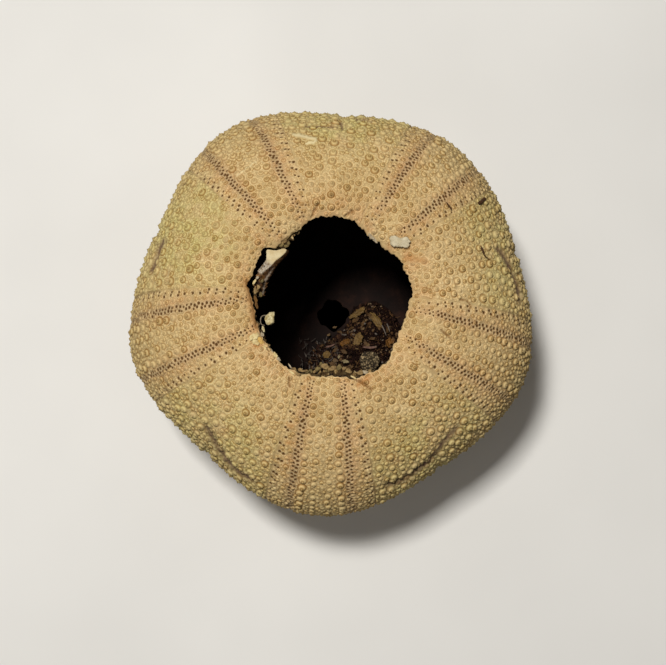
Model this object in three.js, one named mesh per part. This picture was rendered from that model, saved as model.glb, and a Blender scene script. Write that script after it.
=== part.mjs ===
// Dry test of a regular sea urchin, lying on its small flat foot with the mouth opening up.
// Units are millimetres and +Z is up. The origin is the middle of the shell's box, on the surface it rests on.
// The grown shell is one solid. Broken bits and dirt that lie on it or in it are solids of their own.
import * as THREE from 'three';

// Size of the shell
const widestRadius = 39;
const widestHeight = 27;
const oralRise = 20;
const aboralDrop = 27.5;
const wallThickness = 1.8;

// How full the two halves of the side profile are: 1 is an ellipse, less is boxier
const oralFullness = 0.85;
const aboralFullness = 0.93;

// The surface sinks a little from a crest down to the edge of the mouth opening
const crestRadius = 21;
const meanMouthRadius = 14.6;
const mouthSink = 1.9;

// Opening in the middle of the foot. It lies a little off the middle of the shell's box, and all places in
// this file are measured from it.
const ventRadius = 3.2;
const ventPlace = new THREE.Vector3(0.55, 1.65, 0);

// Five bulging rows with tube feet pores and five dented rows between them
const firstBulgeAngle = 50.5;
const lobeDepth = 0.036;
// Slow unevenness of the outline: [waves around, cosine share, sine share]
const unevenness = [
  [1, -0.011, -0.0128],
  [2, -0.0077, -0.001],
  [3, 0.0044, -0.0004],
];

// Ragged edge of the mouth opening, as [degrees, radius]. The step near 145 is where the loose piece broke out.
const mouthEdge = [
  [0, 14.4], [15, 13.9], [30, 13.4], [40, 12.45], [56, 12.2], [68, 13.1], [77, 14.0], [90, 14.0],
  [103, 14.3], [115, 13.2], [128, 13.2], [137, 13.1], [141, 13.3], [146, 15.0], [153, 14.9], [164, 15.0],
  [176, 15.5], [184, 14.7], [194, 14.4], [207, 15.0], [222, 15.1], [232, 15.8], [247, 15.8], [258, 15.0],
  [267, 13.5], [276, 13.7], [287, 15.1], [300, 16.0], [310, 15.9], [320, 14.3], [334, 13.8], [347, 13.6],
];

// How finely the shell is faceted
const shellColumns = 80;
const outerRows = 22;
const innerRows = 18;

// Heap of dirt on the floor inside, clear of the vent
const heapCentre = new THREE.Vector2(5.5, -7.5);
const heapHeight = 5.2;
const heapRimThickness = 0.5;
const heapRings = 6;
const heapSpokes = 36;
// Edge of the heap seen from its own centre, as [degrees, reach]
const heapEdge = [
  [9, 9.6], [45, 10.6], [72, 11.0], [98, 8.9], [108, 6.3], [133, 5.1],
  [163, 6.6], [183, 10.2], [201, 12.0], [229, 11.0], [273, 9.5], [324, 9.3],
];

// Clear space kept between pieces that touch, and under the heap, where the floor's facets rise into it
const touchGap = 0.35;
const heapGap = 0.5;

const materials = {
  shell: finish('#c9ab76', 0.85),
  freshBreak: finish('#e3d3a6', 0.8),
  whiteChip: finish('#e6e0cc', 0.7),
  dirt: finish('#2a1f1a', 0.95),
  goldenFlake: finish('#7d5c2a', 0.7),
  granules: finish('#77735c', 0.9),
  needle: finish('#8d8478', 0.6),
  pinkSliver: finish('#96705c', 0.7),
  darkBit: finish('#3a2410', 0.8),
};

function finish(color, roughness) {
  return new THREE.MeshStandardMaterial({ color, roughness, metalness: 0 });
}

// Radius of a closed outline of [degrees, radius] points at any angle, straight between the points.
function outlineAt(outline, degrees) {
  const turned = ((degrees % 360) + 360) % 360;
  const next = outline.findIndex(([at]) => at > turned);
  const after = next < 0 ? outline[0] : outline[next];
  const before = outline[(next < 0 ? outline.length : next) - 1] ?? outline.at(-1);
  const span = (after[0] - before[0] + 360) % 360;
  const share = ((turned - before[0] + 360) % 360) / span;
  return THREE.MathUtils.lerp(before[1], after[1], share);
}

// The mean side profile. Polar angle 0 is over the mouth, half a turn is under the foot.
function profilePoint(polar) {
  const across = Math.sin(polar);
  const along = Math.abs(Math.cos(polar));
  if (polar < Math.PI / 2) {
    const radius = widestRadius * across ** oralFullness;
    const inward = Math.max(0, (crestRadius - radius) / (crestRadius - meanMouthRadius));
    const height = widestHeight + oralRise * along ** oralFullness - mouthSink * inward ** 2;
    return new THREE.Vector2(radius, height);
  }
  const radius = widestRadius * across ** aboralFullness;
  const height = widestHeight - aboralDrop * along ** aboralFullness;
  return new THREE.Vector2(radius, Math.max(0, height));
}

// Unit vector out of the profile, across its tangent.
function profileNormal(polar) {
  const step = 0.01;
  const tangent = profilePoint(polar + step).sub(profilePoint(polar - step)).normalize();
  return new THREE.Vector2(-tangent.y, tangent.x);
}

// Polar angle at which the oral or the aboral half of the profile has a given radius.
function polarOfRadius(radius, isOral) {
  const fullness = isOral ? oralFullness : aboralFullness;
  const angle = Math.asin((radius / widestRadius) ** (1 / fullness));
  return isOral ? angle : Math.PI - angle;
}

// How far the outline stands out of a circle, strongest at the widest height.
function lobeFactor(polar, turn) {
  const bulge = lobeDepth * Math.cos(5 * (turn - THREE.MathUtils.degToRad(firstBulgeAngle)));
  const uneven = unevenness.reduce(
    (sum, [waves, cosine, sine]) => sum + cosine * Math.cos(waves * turn) + sine * Math.sin(waves * turn),
    0,
  );
  return 1 + Math.sin(polar) ** 2 * (bulge + uneven);
}

// A point of the shell: depth 0 is the outer face, wallThickness is the inner face.
function shellPoint(polar, turn, depth) {
  const onProfile = profilePoint(polar).addScaledVector(profileNormal(polar), -depth);
  const radius = onProfile.x * lobeFactor(polar, turn);
  return new THREE.Vector3(radius * Math.cos(turn), radius * Math.sin(turn), onProfile.y);
}

function geometryOf(points, indices) {
  const geometry = new THREE.BufferGeometry().setFromPoints(points);
  geometry.setIndex(indices);
  geometry.computeVertexNormals();
  return geometry;
}

// One closed skin: down the outer face from the mouth to the vent, back up the inner face, and round.
function shellGeometry() {
  const ventPolar = polarOfRadius(ventRadius, false);
  const points = [];
  const rows = outerRows + innerRows;
  for (let row = 0; row < rows; row += 1) {
    const isOuter = row < outerRows;
    const share = isOuter ? row / (outerRows - 1) : 1 - (row - outerRows) / (innerRows - 1);
    for (let column = 0; column < shellColumns; column += 1) {
      const turn = (column / shellColumns) * 2 * Math.PI;
      const mouthRadius = outlineAt(mouthEdge, THREE.MathUtils.radToDeg(turn));
      const mouthPolar = polarOfRadius(mouthRadius, true);
      const polar = THREE.MathUtils.lerp(mouthPolar, ventPolar, share);
      points.push(shellPoint(polar, turn, isOuter ? 0 : wallThickness));
    }
  }
  const indices = [];
  for (let row = 0; row < rows; row += 1) {
    const here = row * shellColumns;
    const below = ((row + 1) % rows) * shellColumns;
    for (let column = 0; column < shellColumns; column += 1) {
      const beside = (column + 1) % shellColumns;
      indices.push(here + column, below + column, below + beside);
      indices.push(here + column, below + beside, here + beside);
    }
  }
  return geometryOf(points, indices);
}

// Height of the shell's outer oral face over a point of the ground plan.
function oralHeight(x, y) {
  return profilePoint(polarOfRadius(Math.hypot(x, y), true)).y;
}

// Height of the shell's inner floor over a point of the ground plan.
function floorHeight(x, y) {
  const polar = polarOfRadius(Math.hypot(x, y), false);
  return profilePoint(polar).y - wallThickness / profileNormal(polar).y;
}

function heapReach(turn) {
  return outlineAt(heapEdge, THREE.MathUtils.radToDeg(turn));
}

function heapBottom(x, y) {
  return floorHeight(x, y) + heapGap;
}

function heapTop(x, y) {
  const offset = new THREE.Vector2(x, y).sub(heapCentre);
  const outward = Math.min(1, offset.length() / heapReach(offset.angle()));
  return heapBottom(x, y) + heapRimThickness + heapHeight * (1 - outward ** 2) ** 0.8;
}

// A mound on a polar grid: rings of the top from the middle out, then rings of the underside back in.
function heapGeometry() {
  const points = [new THREE.Vector3(heapCentre.x, heapCentre.y, heapTop(heapCentre.x, heapCentre.y))];
  for (let ring = 1; ring <= 2 * heapRings; ring += 1) {
    const isTop = ring <= heapRings;
    const outward = (isTop ? ring : 2 * heapRings + 1 - ring) / heapRings;
    for (let spoke = 0; spoke < heapSpokes; spoke += 1) {
      const turn = (spoke / heapSpokes) * 2 * Math.PI;
      const x = heapCentre.x + outward * heapReach(turn) * Math.cos(turn);
      const y = heapCentre.y + outward * heapReach(turn) * Math.sin(turn);
      points.push(new THREE.Vector3(x, y, isTop ? heapTop(x, y) : heapBottom(x, y)));
    }
  }
  const last = points.length;
  points.push(new THREE.Vector3(heapCentre.x, heapCentre.y, heapBottom(heapCentre.x, heapCentre.y)));
  const indices = [];
  for (let spoke = 0; spoke < heapSpokes; spoke += 1) {
    const beside = (spoke + 1) % heapSpokes;
    indices.push(0, 1 + spoke, 1 + beside);
    for (let ring = 0; ring < 2 * heapRings - 1; ring += 1) {
      const inner = 1 + ring * heapSpokes;
      const outer = inner + heapSpokes;
      indices.push(inner + spoke, outer + spoke, outer + beside);
      indices.push(inner + spoke, outer + beside, inner + beside);
    }
    const lowest = last - heapSpokes;
    indices.push(lowest + spoke, last, lowest + beside);
  }
  return geometryOf(points, indices);
}

// A thin broken plate: a flat outline of [x, y] corners, centred on its own middle height.
function plateGeometry(corners, thickness) {
  const outline = new THREE.Shape(corners.map(([x, y]) => new THREE.Vector2(x, y)));
  const geometry = new THREE.ExtrudeGeometry(outline, { depth: thickness, bevelEnabled: false });
  return geometry.translate(0, 0, -thickness / 2);
}

// An uneven many-cornered plate outline, round in plan and stretched to a length and a width.
function flakeCorners(length, width, corners, unevenShare) {
  return Array.from({ length: corners }, (_, index) => {
    const turn = (index / corners) * 2 * Math.PI;
    const reach = 1 + unevenShare * Math.sin(2.7 * index + length);
    return [0.5 * length * reach * Math.cos(turn), 0.5 * width * reach * Math.sin(turn)];
  });
}

// A thin rod along X with six sides.
function rodGeometry(length, diameter) {
  return new THREE.CylinderGeometry(diameter / 2, diameter / 2, length, 6).rotateZ(Math.PI / 2);
}

// A lump with the given size along X, Y and Z.
function lumpGeometry(length, width, height) {
  return new THREE.IcosahedronGeometry(0.5, 1).scale(length, width, height);
}

function piece(name, geometry, material) {
  const mesh = new THREE.Mesh(geometry, material);
  mesh.name = name;
  return mesh;
}

// Lays a piece on a curved ground: its own Z goes along the ground's slope, then it is turned about that.
function layOn(heightAt, mesh, { x, y, turn, lift }) {
  const step = 0.4;
  const slopeX = (heightAt(x + step, y) - heightAt(x - step, y)) / (2 * step);
  const slopeY = (heightAt(x, y + step) - heightAt(x, y - step)) / (2 * step);
  const normal = new THREE.Vector3(-slopeX, -slopeY, 1).normalize();
  mesh.quaternion.setFromUnitVectors(new THREE.Vector3(0, 0, 1), normal);
  mesh.rotateZ(THREE.MathUtils.degToRad(turn));
  mesh.position.set(x, y, heightAt(x, y)).addScaledVector(normal, lift);
  return mesh;
}

// The piece that broke out of the mouth edge and leans in its notch.
function looseRimPiece() {
  const corners = [
    [-8.5, 7.75], [-9.1, 8.3], [-9.7, 8.3], [-10.25, 7.85], [-12.1, 7.85], [-12.3, 6.5], [-13.4, 4.7],
    [-13.9, 3.3], [-14.45, 1.0], [-13.9, -0.5], [-12.5, 0.6], [-12.35, 3.0], [-11.8, 4.3], [-10.5, 6.1],
    [-9.05, 6.9],
  ];
  const height = 2.6;
  const topHeight = 43.4;
  const mesh = piece('loose_rim_piece', plateGeometry(corners.toReversed(), height), materials.freshBreak);
  mesh.position.z = topHeight - height / 2;
  return mesh;
}

function crumbAtMouthEdge() {
  const mesh = piece('pale_crumb', lumpGeometry(1.7, 2.2, 1.8), materials.freshBreak);
  mesh.position.set(-11.9, -4.75, 42.6);
  return mesh;
}

function whiteChip() {
  const thickness = 0.8;
  const corners = [[-1.95, -1.0], [1.85, -1.15], [2.0, 0.2], [1.3, 0.95], [-0.9, 1.2], [-1.6, 0.7]];
  const mesh = piece('white_chip', plateGeometry(corners, thickness), materials.whiteChip);
  return layOn(oralHeight, mesh, { x: 12.3, y: 9.45, turn: -2, lift: thickness / 2 + touchGap });
}

// Flat bits that lie on the heap, each as name, length, width, place and turn in degrees.
function goldenFlakes() {
  const thickness = 0.4;
  const flakes = [
    { length: 4.0, width: 2.3, x: 5.4, y: -0.4, turn: 48 },
    { length: 4.4, width: 2.1, x: 8.9, y: -1.6, turn: 100 },
    { length: 2.9, width: 1.9, x: 5.4, y: -5.8, turn: 75 },
    { length: 2.4, width: 1.9, x: 2.7, y: -6.7, turn: 20 },
    { length: 1.9, width: 1.6, x: -1.1, y: -9.0, turn: 0 },
    { length: 2.3, width: 1.8, x: 11.5, y: -6.5, turn: 70 },
  ];
  return flakes.map((flake, index) => {
    const outline = flakeCorners(flake.length, flake.width, 9, 0.12);
    const mesh = piece(`golden_flake_${index + 1}`, plateGeometry(outline, thickness), materials.goldenFlake);
    return layOn(heapTop, mesh, { ...flake, lift: thickness / 2 + touchGap });
  });
}

function granularDisc() {
  const thickness = 1.1;
  const outline = flakeCorners(4.4, 4.2, 16, 0.03);
  const mesh = piece('granular_disc', plateGeometry(outline, thickness), materials.granules);
  return layOn(heapTop, mesh, { x: 7.6, y: -10.3, turn: 0, lift: thickness / 2 + touchGap });
}

function paleNeedles() {
  const diameter = 0.3;
  const needles = [
    { length: 2.5, x: 10.5, y: -3.9, turn: -72 },
    { length: 2.0, x: 11.4, y: -3.3, turn: -78 },
  ];
  return needles.map((needle, index) => {
    const mesh = piece(`pale_needle_${index + 1}`, rodGeometry(needle.length, diameter), materials.needle);
    return layOn(heapTop, mesh, { ...needle, lift: diameter / 2 + touchGap });
  });
}

function pinkSlivers() {
  const thickness = 0.35;
  const slivers = [
    { length: 3.3, width: 0.6, x: 7.7, y: -7.5, turn: 0 },
    { length: 2.4, width: 0.5, x: -0.3, y: -7.3, turn: 22 },
  ];
  return slivers.map((sliver, index) => {
    const outline = flakeCorners(sliver.length, sliver.width, 8, 0.05);
    const mesh = piece(`pink_sliver_${index + 1}`, plateGeometry(outline, thickness), materials.pinkSliver);
    return layOn(heapTop, mesh, { ...sliver, lift: thickness / 2 + touchGap });
  });
}

// Dark dirt caught between the knobs of the outer face.
function darkBits() {
  const bits = [
    { name: 'dark_bit', length: 2.0, width: 0.9, height: 0.6, x: 27.7, y: 17.8, turn: 52 },
    { name: 'dark_splinter', length: 2.1, width: 0.4, height: 0.35, x: 21.4, y: 16.4, turn: -54 },
    { name: 'dark_thread', length: 2.9, width: 0.4, height: 0.35, x: 28.1, y: 7.7, turn: -58 },
  ];
  return bits.map((bit) => {
    const mesh = piece(bit.name, lumpGeometry(bit.length, bit.width, bit.height), materials.darkBit);
    return layOn(oralHeight, mesh, { ...bit, lift: bit.height / 2 + touchGap });
  });
}

const urchin = new THREE.Group();
urchin.position.copy(ventPlace);
urchin.add(
  piece('shell', shellGeometry(), materials.shell),
  looseRimPiece(),
  crumbAtMouthEdge(),
  whiteChip(),
  piece('dirt_heap', heapGeometry(), materials.dirt),
  ...goldenFlakes(),
  granularDisc(),
  ...paleNeedles(),
  ...pinkSlivers(),
  ...darkBits(),
);

export default urchin;
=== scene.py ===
import math

import bpy
import numpy as np
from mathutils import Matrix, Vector


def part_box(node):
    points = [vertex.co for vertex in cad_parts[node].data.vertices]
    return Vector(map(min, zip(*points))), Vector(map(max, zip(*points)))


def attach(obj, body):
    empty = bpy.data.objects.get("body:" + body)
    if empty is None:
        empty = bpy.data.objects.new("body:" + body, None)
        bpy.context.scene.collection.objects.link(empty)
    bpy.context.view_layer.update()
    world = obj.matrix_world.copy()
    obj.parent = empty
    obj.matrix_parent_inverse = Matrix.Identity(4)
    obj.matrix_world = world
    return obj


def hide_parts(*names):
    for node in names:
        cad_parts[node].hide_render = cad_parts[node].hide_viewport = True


# Dry sea urchin shell, mouth side up, with dirt inside and broken bits on its rim.
# Shapes are worked out in millimetres from the vent axis, then moved into the frame in metres.

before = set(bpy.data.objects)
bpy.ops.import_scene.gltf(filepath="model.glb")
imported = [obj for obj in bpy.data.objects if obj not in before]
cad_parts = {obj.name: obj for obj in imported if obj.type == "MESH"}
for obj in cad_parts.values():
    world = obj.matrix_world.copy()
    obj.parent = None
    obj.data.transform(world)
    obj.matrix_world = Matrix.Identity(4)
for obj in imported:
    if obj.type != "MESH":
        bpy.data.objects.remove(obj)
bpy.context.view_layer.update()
print("frame loaded")

metresPerMm = 0.001
ventPlace = np.array([0.55, 1.65, 0.0])  # the vent axis in the frame, mm
photoSize = (666, 665)  # px

# The shell's own form, the same as its CAD solid
shellForm = {
    "widestRadius": 39.0,
    "widestHeight": 27.0,
    "oralRise": 20.0,
    "aboralDrop": 27.5,
    "wallThickness": 1.8,
    "oralFullness": 0.85,
    "aboralFullness": 0.93,
    "crestRadius": 21.0,
    "meanMouthRadius": 14.6,
    "mouthSink": 1.9,
    "ventRadius": 3.2,
    "firstBulgeAngle": 50.5,
    "lobeDepth": 0.036,
    "unevenness": [(1, -0.011, -0.0128), (2, -0.0077, -0.001), (3, 0.0044, -0.0004)],
    # [degrees round the axis, mm by which the photo's outline stands inside the CAD form]
    "outlineTrim": [
        (0, 0.0), (15, -0.15), (30, 0.15), (45, 0.9), (60, 0.75), (75, 0.55), (90, 0.6), (105, 0.6),
        (120, 0.8), (135, 0.85), (150, 0.7), (165, 0.25), (180, 0.5), (195, 0.1), (210, 0.1),
        (225, 0.2), (240, -0.15), (255, -0.1), (270, -0.25), (285, -0.4), (300, -0.6), (315, -0.35),
        (330, -0.15), (345, 0.0),
    ],
    # [degrees round the axis, radius of the mouth edge in mm]
    "mouthEdge": [
        (0, 14.4), (15, 13.9), (30, 13.4), (40, 12.45), (56, 12.2), (68, 13.1), (77, 14.0), (90, 14.0),
        (103, 14.3), (115, 13.2), (128, 13.2), (137, 13.1), (141, 13.3), (146, 15.0), (153, 14.9),
        (164, 15.0), (176, 15.5), (184, 14.7), (194, 14.4), (207, 15.0), (222, 15.1), (232, 15.8),
        (247, 15.8), (258, 15.2), (267, 15.1), (276, 15.2), (281, 15.7), (287, 16.1), (300, 16.0),
        (310, 15.9), (320, 14.3), (334, 13.8), (347, 13.6),
    ],
    "edgeWaves": [(17, 0.10), (29, 0.09), (43, 0.08), (71, 0.06), (113, 0.05)],  # [waves round the mouth, mm]
    "edgePhase": 1.7,  # radians from one of these waves to the next
    "ventWaves": [(4, 1, 1), (7, 0.6, 0), (13, 0.2, 2)],  # [waves round the vent, size, phase]
    "ventRagged": 0.006,  # radians of polar angle for each unit of them
    "ventBlend": 4,  # mm over which the rows follow the ragged vent
}

# The fine grid that the knobs and pores stand on
shellGrid = {
    "plates": 54,  # along one half meridian
    "rowsPerPlate": 9,
    "ambulacrumColumns": 112,
    "interambulacrumColumns": 160,
    "edgeBlend": 7.0,  # mm over which the rows follow the ragged edge
    "edgeRows": 15,  # across the broken thickness
    "innerRows": 60,
    "innerColumnShare": 4,  # outer columns for each inner one
    "sunk": 0.35,  # mm that the face between the knobs lies under the CAD face
}

cameraPlace = {
    "target": (0.0, 0.0, 25.0),  # mm from the vent axis
    "distance": 260.0,
    "tilt": 6.0,  # degrees off the vertical, leaning to the photo's lower side
    "focalPixels": 1320.0,
    "targetPixel": (333.2, 303.8),
    "sensorWidth": 36.0,
}


def smooth(low, high, value):
    # 0 below low, 1 above high, with the cubic 3t^2 - 2t^3 between
    share = np.clip((value - low) / (high - low), 0, 1)
    return share * share * (3 - 2 * share)


def profileAt(polar):
    # Side profile: the radius is the widest one times sin^fullness, and the height leaves the widest
    # place by cos^fullness; from the crest in to the mouth it sinks with the square of the way
    across = np.sin(polar)
    along = np.abs(np.cos(polar))
    oralRadius = shellForm["widestRadius"] * across ** shellForm["oralFullness"]
    lipWidth = shellForm["crestRadius"] - shellForm["meanMouthRadius"]
    inward = (shellForm["crestRadius"] - oralRadius) / lipWidth
    sink = shellForm["mouthSink"] * np.maximum(0, inward) ** 2
    oralHeight = shellForm["widestHeight"] + shellForm["oralRise"] * along ** shellForm["oralFullness"] - sink
    aboralRadius = shellForm["widestRadius"] * across ** shellForm["aboralFullness"]
    aboralHeight = shellForm["widestHeight"] - shellForm["aboralDrop"] * along ** shellForm["aboralFullness"]
    isOral = polar < math.pi / 2
    radius = np.where(isOral, oralRadius, aboralRadius)
    return radius, np.where(isOral, oralHeight, np.maximum(0, aboralHeight))


def profileNormal(polar):
    # Unit vector across the chord between two near points of the profile
    step = 0.01
    radiusBefore, heightBefore = profileAt(polar - step)
    radiusAfter, heightAfter = profileAt(polar + step)
    across = radiusAfter - radiusBefore
    drop = heightAfter - heightBefore
    length = np.hypot(across, drop)
    return -drop / length, across / length


def polarOfRadius(radius, isOral):
    # Inverse of the profile's radius: asin of (radius / widest)^(1 / fullness)
    fullness = shellForm["oralFullness"] if isOral else shellForm["aboralFullness"]
    angle = np.arcsin((radius / shellForm["widestRadius"]) ** (1 / fullness))
    return angle if isOral else math.pi - angle


def roundAxis(table, turn):
    # Straight lines between the table's points, each [degrees round the axis, value]
    points = np.array(table)
    return np.interp(np.degrees(turn) % 360, points[:, 0], points[:, 1], period=360)


def ringWaves(waves, turn, start=0):
    # The start plus, for each wave, size times the sine of (number * turn + phase)
    return sum((size * np.sin(number * turn + phase) for number, size, phase in waves), start)


def lobeFactor(polar, turn):
    # 1 plus sin^2 of the polar angle times a five-fold cosine, three slow waves and the trim
    wave = shellForm["lobeDepth"] * np.cos(5 * (turn - math.radians(shellForm["firstBulgeAngle"])))
    for waves, cosine, sine in shellForm["unevenness"]:
        wave = wave + cosine * np.cos(waves * turn) + sine * np.sin(waves * turn)
    wave = wave - roundAxis(shellForm["outlineTrim"], turn) / shellForm["widestRadius"]
    return 1 + np.sin(polar) ** 2 * wave


def shellPoint(polar, turn, height):
    # Profile point moved out along its normal, its radius times the lobe factor, swung to the turn
    radius, rise = profileAt(polar)
    outX, outZ = profileNormal(polar)
    reach = (radius + height * outX) * lobeFactor(polar, turn)
    return np.stack([reach * np.cos(turn), reach * np.sin(turn), rise + height * outZ], axis=-1)


def edgeRadius(turn):
    # Mouth edge radius, straight between its points, plus a few fine waves with fixed phases
    radius = roundAxis(shellForm["mouthEdge"], turn)
    for number, (waves, size) in enumerate(shellForm["edgeWaves"]):
        radius = radius + size * np.sin(waves * turn + shellForm["edgePhase"] * number)
    return radius


# Arc length along the mean meridian, from the mouth edge to the vent edge
meridianPolar = np.linspace(
    polarOfRadius(shellForm["meanMouthRadius"], True), polarOfRadius(shellForm["ventRadius"], False), 4001
)
meridianRadius, meridianHeight = profileAt(meridianPolar)
meridianArc = np.concatenate([[0], np.cumsum(np.hypot(np.diff(meridianRadius), np.diff(meridianHeight)))])
fullArc = meridianArc[-1]
plateHeight = fullArc / shellGrid["plates"]
rowHeight = plateHeight / shellGrid["rowsPerPlate"]


def polarOfArc(arc, turn):
    # Mean meridian by arc length. The first rows are pulled to the ragged edge by (1 - arc / blend)^2, and
    # the last rows follow the waves of the vent
    polar = np.interp(arc, meridianArc, meridianPolar)
    pull = np.maximum(0, 1 - arc / shellGrid["edgeBlend"]) ** 2
    edgePolar = polarOfRadius(edgeRadius(turn), True)
    waves = shellForm["ventRagged"] * ringWaves(shellForm["ventWaves"], turn)
    ventPull = waves * smooth(fullArc - shellForm["ventBlend"], fullArc, arc)
    return polar + pull * (edgePolar - meridianPolar[0]) - ventPull


# [degrees round the axis, mm by which the wall's inner lip stands further into the mouth than its outer edge]
lipLean = [
    (0, 0.1), (20, 0.15), (40, 0.1), (60, 0.25), (80, 0.15), (100, 0.2), (116, 0.35), (122, 0.9),
    (128, 1.35), (136, 1.3), (140, 0.9), (143, 0.1), (165, 0.15), (180, 0.35), (200, 0.5), (212, 0.7),
    (222, 0.45), (238, 0.3), (252, 0.6), (258, 0.8), (262, 1.4), (267, 1.8), (274, 1.8), (279, 1.7),
    (284, 1.5), (290, 1.3), (297, 0.5), (305, 0.15), (340, 0.1),
]


lipWaves = [(61, 0.16, 0), (97, 0.12, 1), (149, 0.1, 2)]  # [waves round the mouth, share of the lean, phase]


def leanAt(turn):
    # The lip's lean between its points, times 1 plus three fine waves
    return roundAxis(lipLean, turn) * ringWaves(lipWaves, turn, 1)


def halfSpread(arc):
    # Half the angle of a pored sector, in degrees: 18 at the mouth, 15 at the widest height
    return np.interp(arc, [0, 18, 34, 70, fullArc], [18, 16.2, 15, 15.5, 17])


print("profile", round(float(fullArc), 1), "mm from mouth to vent")

# Slow unevenness of the surface: plane waves, 2.5 to 14 mm long, in fixed random directions
waveSeed = np.random.default_rng(11)
waveVectors = waveSeed.normal(size=(14, 3))
waveVectors /= np.linalg.norm(waveVectors, axis=1)[:, None]
waveVectors *= (2 * math.pi / waveSeed.uniform(2.5, 14, size=14))[:, None]
wavePhases = waveSeed.uniform(0, 2 * math.pi, size=14)


def undulation(points, size):
    # Three times the mean of the sines of the fourteen plane waves, times the size
    waves = np.sin(points @ waveVectors.T + wavePhases)
    return size * waves.mean(axis=-1) * 3


shorterBy = (5.3, 7.1)  # for the two groups of waves that make the fine pitting


def pitting(points, size):
    # Fine roughness: twice the sum of the mean sines of two groups of shorter plane waves
    first = np.sin(points @ (waveVectors[:7].T * shorterBy[0]) + wavePhases[:7]).mean(axis=-1)
    second = np.sin(points @ (waveVectors[7:].T * shorterBy[1]) + wavePhases[7:]).mean(axis=-1)
    return size * (first + second) * 2


# What the painted fields hold where there is no mark
blank = {
    "knob": 1.6,  # share of a knob's radius, well past its rim
    "pore": 3.0,
    "clear": 9.0,  # mm
    "tint": 0.5,
}

stampReach = {
    "searched": 1.7,  # radii along the meridian
    "painted": 1.6,  # radii round the mark
}


class Sector:
    # One of the ten sectors: base points of its outer grid and the fields that are painted on them
    def __init__(self, name, centreDegrees, isPored, seed):
        self.name = name
        self.isPored = isPored
        self.random = np.random.default_rng(seed)
        self.columns = shellGrid["ambulacrumColumns"] if isPored else shellGrid["interambulacrumColumns"]
        self.rows = shellGrid["plates"] * shellGrid["rowsPerPlate"]
        self.centre = math.radians(centreDegrees)
        self.arc = np.linspace(0, fullArc, self.rows + 1)
        self.across = np.linspace(-1, 1, self.columns + 1)
        self.turn = self.turnAt(self.arc[:, None], self.across[None, :])
        self.polar = polarOfArc(self.arc[:, None], self.turn)
        self.base = shellPoint(self.polar, self.turn, 0)
        self.columnWidth = np.linalg.norm(np.diff(self.base, axis=1), axis=2).mean(axis=1)
        self.halfWidth = self.columnWidth * self.columns / 2
        # distance along the surface to the nearer side of the sector
        self.toSide = (1 - np.abs(self.across))[None, :] * self.halfWidth[:, None]
        self.height = np.zeros(self.base.shape[:2])
        self.pit = np.zeros(self.base.shape[:2])
        self.knob = np.full(self.base.shape[:2], blank["knob"])
        self.pore = np.full(self.base.shape[:2], blank["pore"])
        self.clear = np.full(self.base.shape[:2], blank["clear"])  # mm to the rim of the nearest knob
        self.tint = np.full(self.base.shape[:2], blank["tint"])
        self.stain = {}

    def turnAt(self, arc, across):
        # Angle round the axis; a pored and a plain half sector fill 36 degrees together
        spread = halfSpread(arc)
        if not self.isPored:
            spread = 36 - spread
        return self.centre + across * np.radians(spread)

    def stamp(self, rows, columns, radii, paint, stretch=1.0):
        # Gives paint() the grid points round each mark, with their distance over the mark's radius; a
        # stretched mark is wider across and shorter along the meridian
        reachRows = int(math.ceil(stampReach["searched"] * radii.max() / rowHeight)) + 1
        needed = np.ceil(stampReach["painted"] * radii / self.columnWidth[rows]).astype(int) + 1
        rowSteps = np.arange(-reachRows, reachRows + 1)[None, :, None]
        for low, high in ((0, 8), (8, 16), (16, 32), (32, 64)):
            chosen = (needed > low) & (needed <= high)
            if not chosen.any():
                continue
            columnSteps = np.arange(-high, high + 1)[None, None, :]
            nearRows = rows[chosen][:, None, None] + rowSteps + 0 * columnSteps
            nearColumns = columns[chosen][:, None, None] + columnSteps + 0 * rowSteps
            inside = (nearRows >= 0) & (nearRows <= self.rows)
            inside = inside & (nearColumns >= 0) & (nearColumns <= self.columns)
            owner = np.broadcast_to(np.flatnonzero(chosen)[:, None, None], inside.shape)[inside]
            nearRows = nearRows[inside]
            nearColumns = nearColumns[inside]
            apart = self.base[nearRows, nearColumns] - self.base[rows[owner], columns[owner]]
            along = (nearRows - rows[owner]) * rowHeight
            across = np.sqrt(np.maximum(0, (apart ** 2).sum(axis=1) - along ** 2))
            share = np.hypot(across / stretch, along * stretch) / radii[owner]
            near = share < stampReach["painted"]
            paint(nearRows[near], nearColumns[near], owner[near], share[near])


knobShape = {
    "reachArcs": (8, 30),  # mm from the mouth, for the two boss reaches
    "bossReach": (0.6, 0.82),  # share of the knob's radius, at the mouth and on the flank
    "bossHeight": 0.61,
    "bossRoundness": 0.62,
    "beadReach": 0.19,
    "beadHeight": 0.17,
    "ringPlace": 0.27,
    "ringWidth": 0.08,
    "ringDepth": 0.1,
    "moatPlace": 0.12,  # past the boss
    "moatWidth": 0.11,
    "moatDepth": 0.15,
    "rimPlace": 0.97,
    "rimWidth": 0.08,
    "rimHeight": 0.07,
    "rimless": 0.8,  # boss reach that leaves no room for a rim
    "rimGrowth": 5,
    "heights": (0.86, 0.24),  # share of a dark knob's height, and what a pale one adds to it
    "highest": 0.8,  # mm
    "ground": 1.15,  # radii round the middle that belong to the knob
    "bossMark": 0.6,  # mark that the boss ends at, whatever its reach
}

plainKnob = {
    "height": 0.62,
    "roundness": 0.6,
    "middleMark": 0.42,
    "rimMark": 0.33,  # added at the rim, with the fourth power of the way out
}


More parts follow.
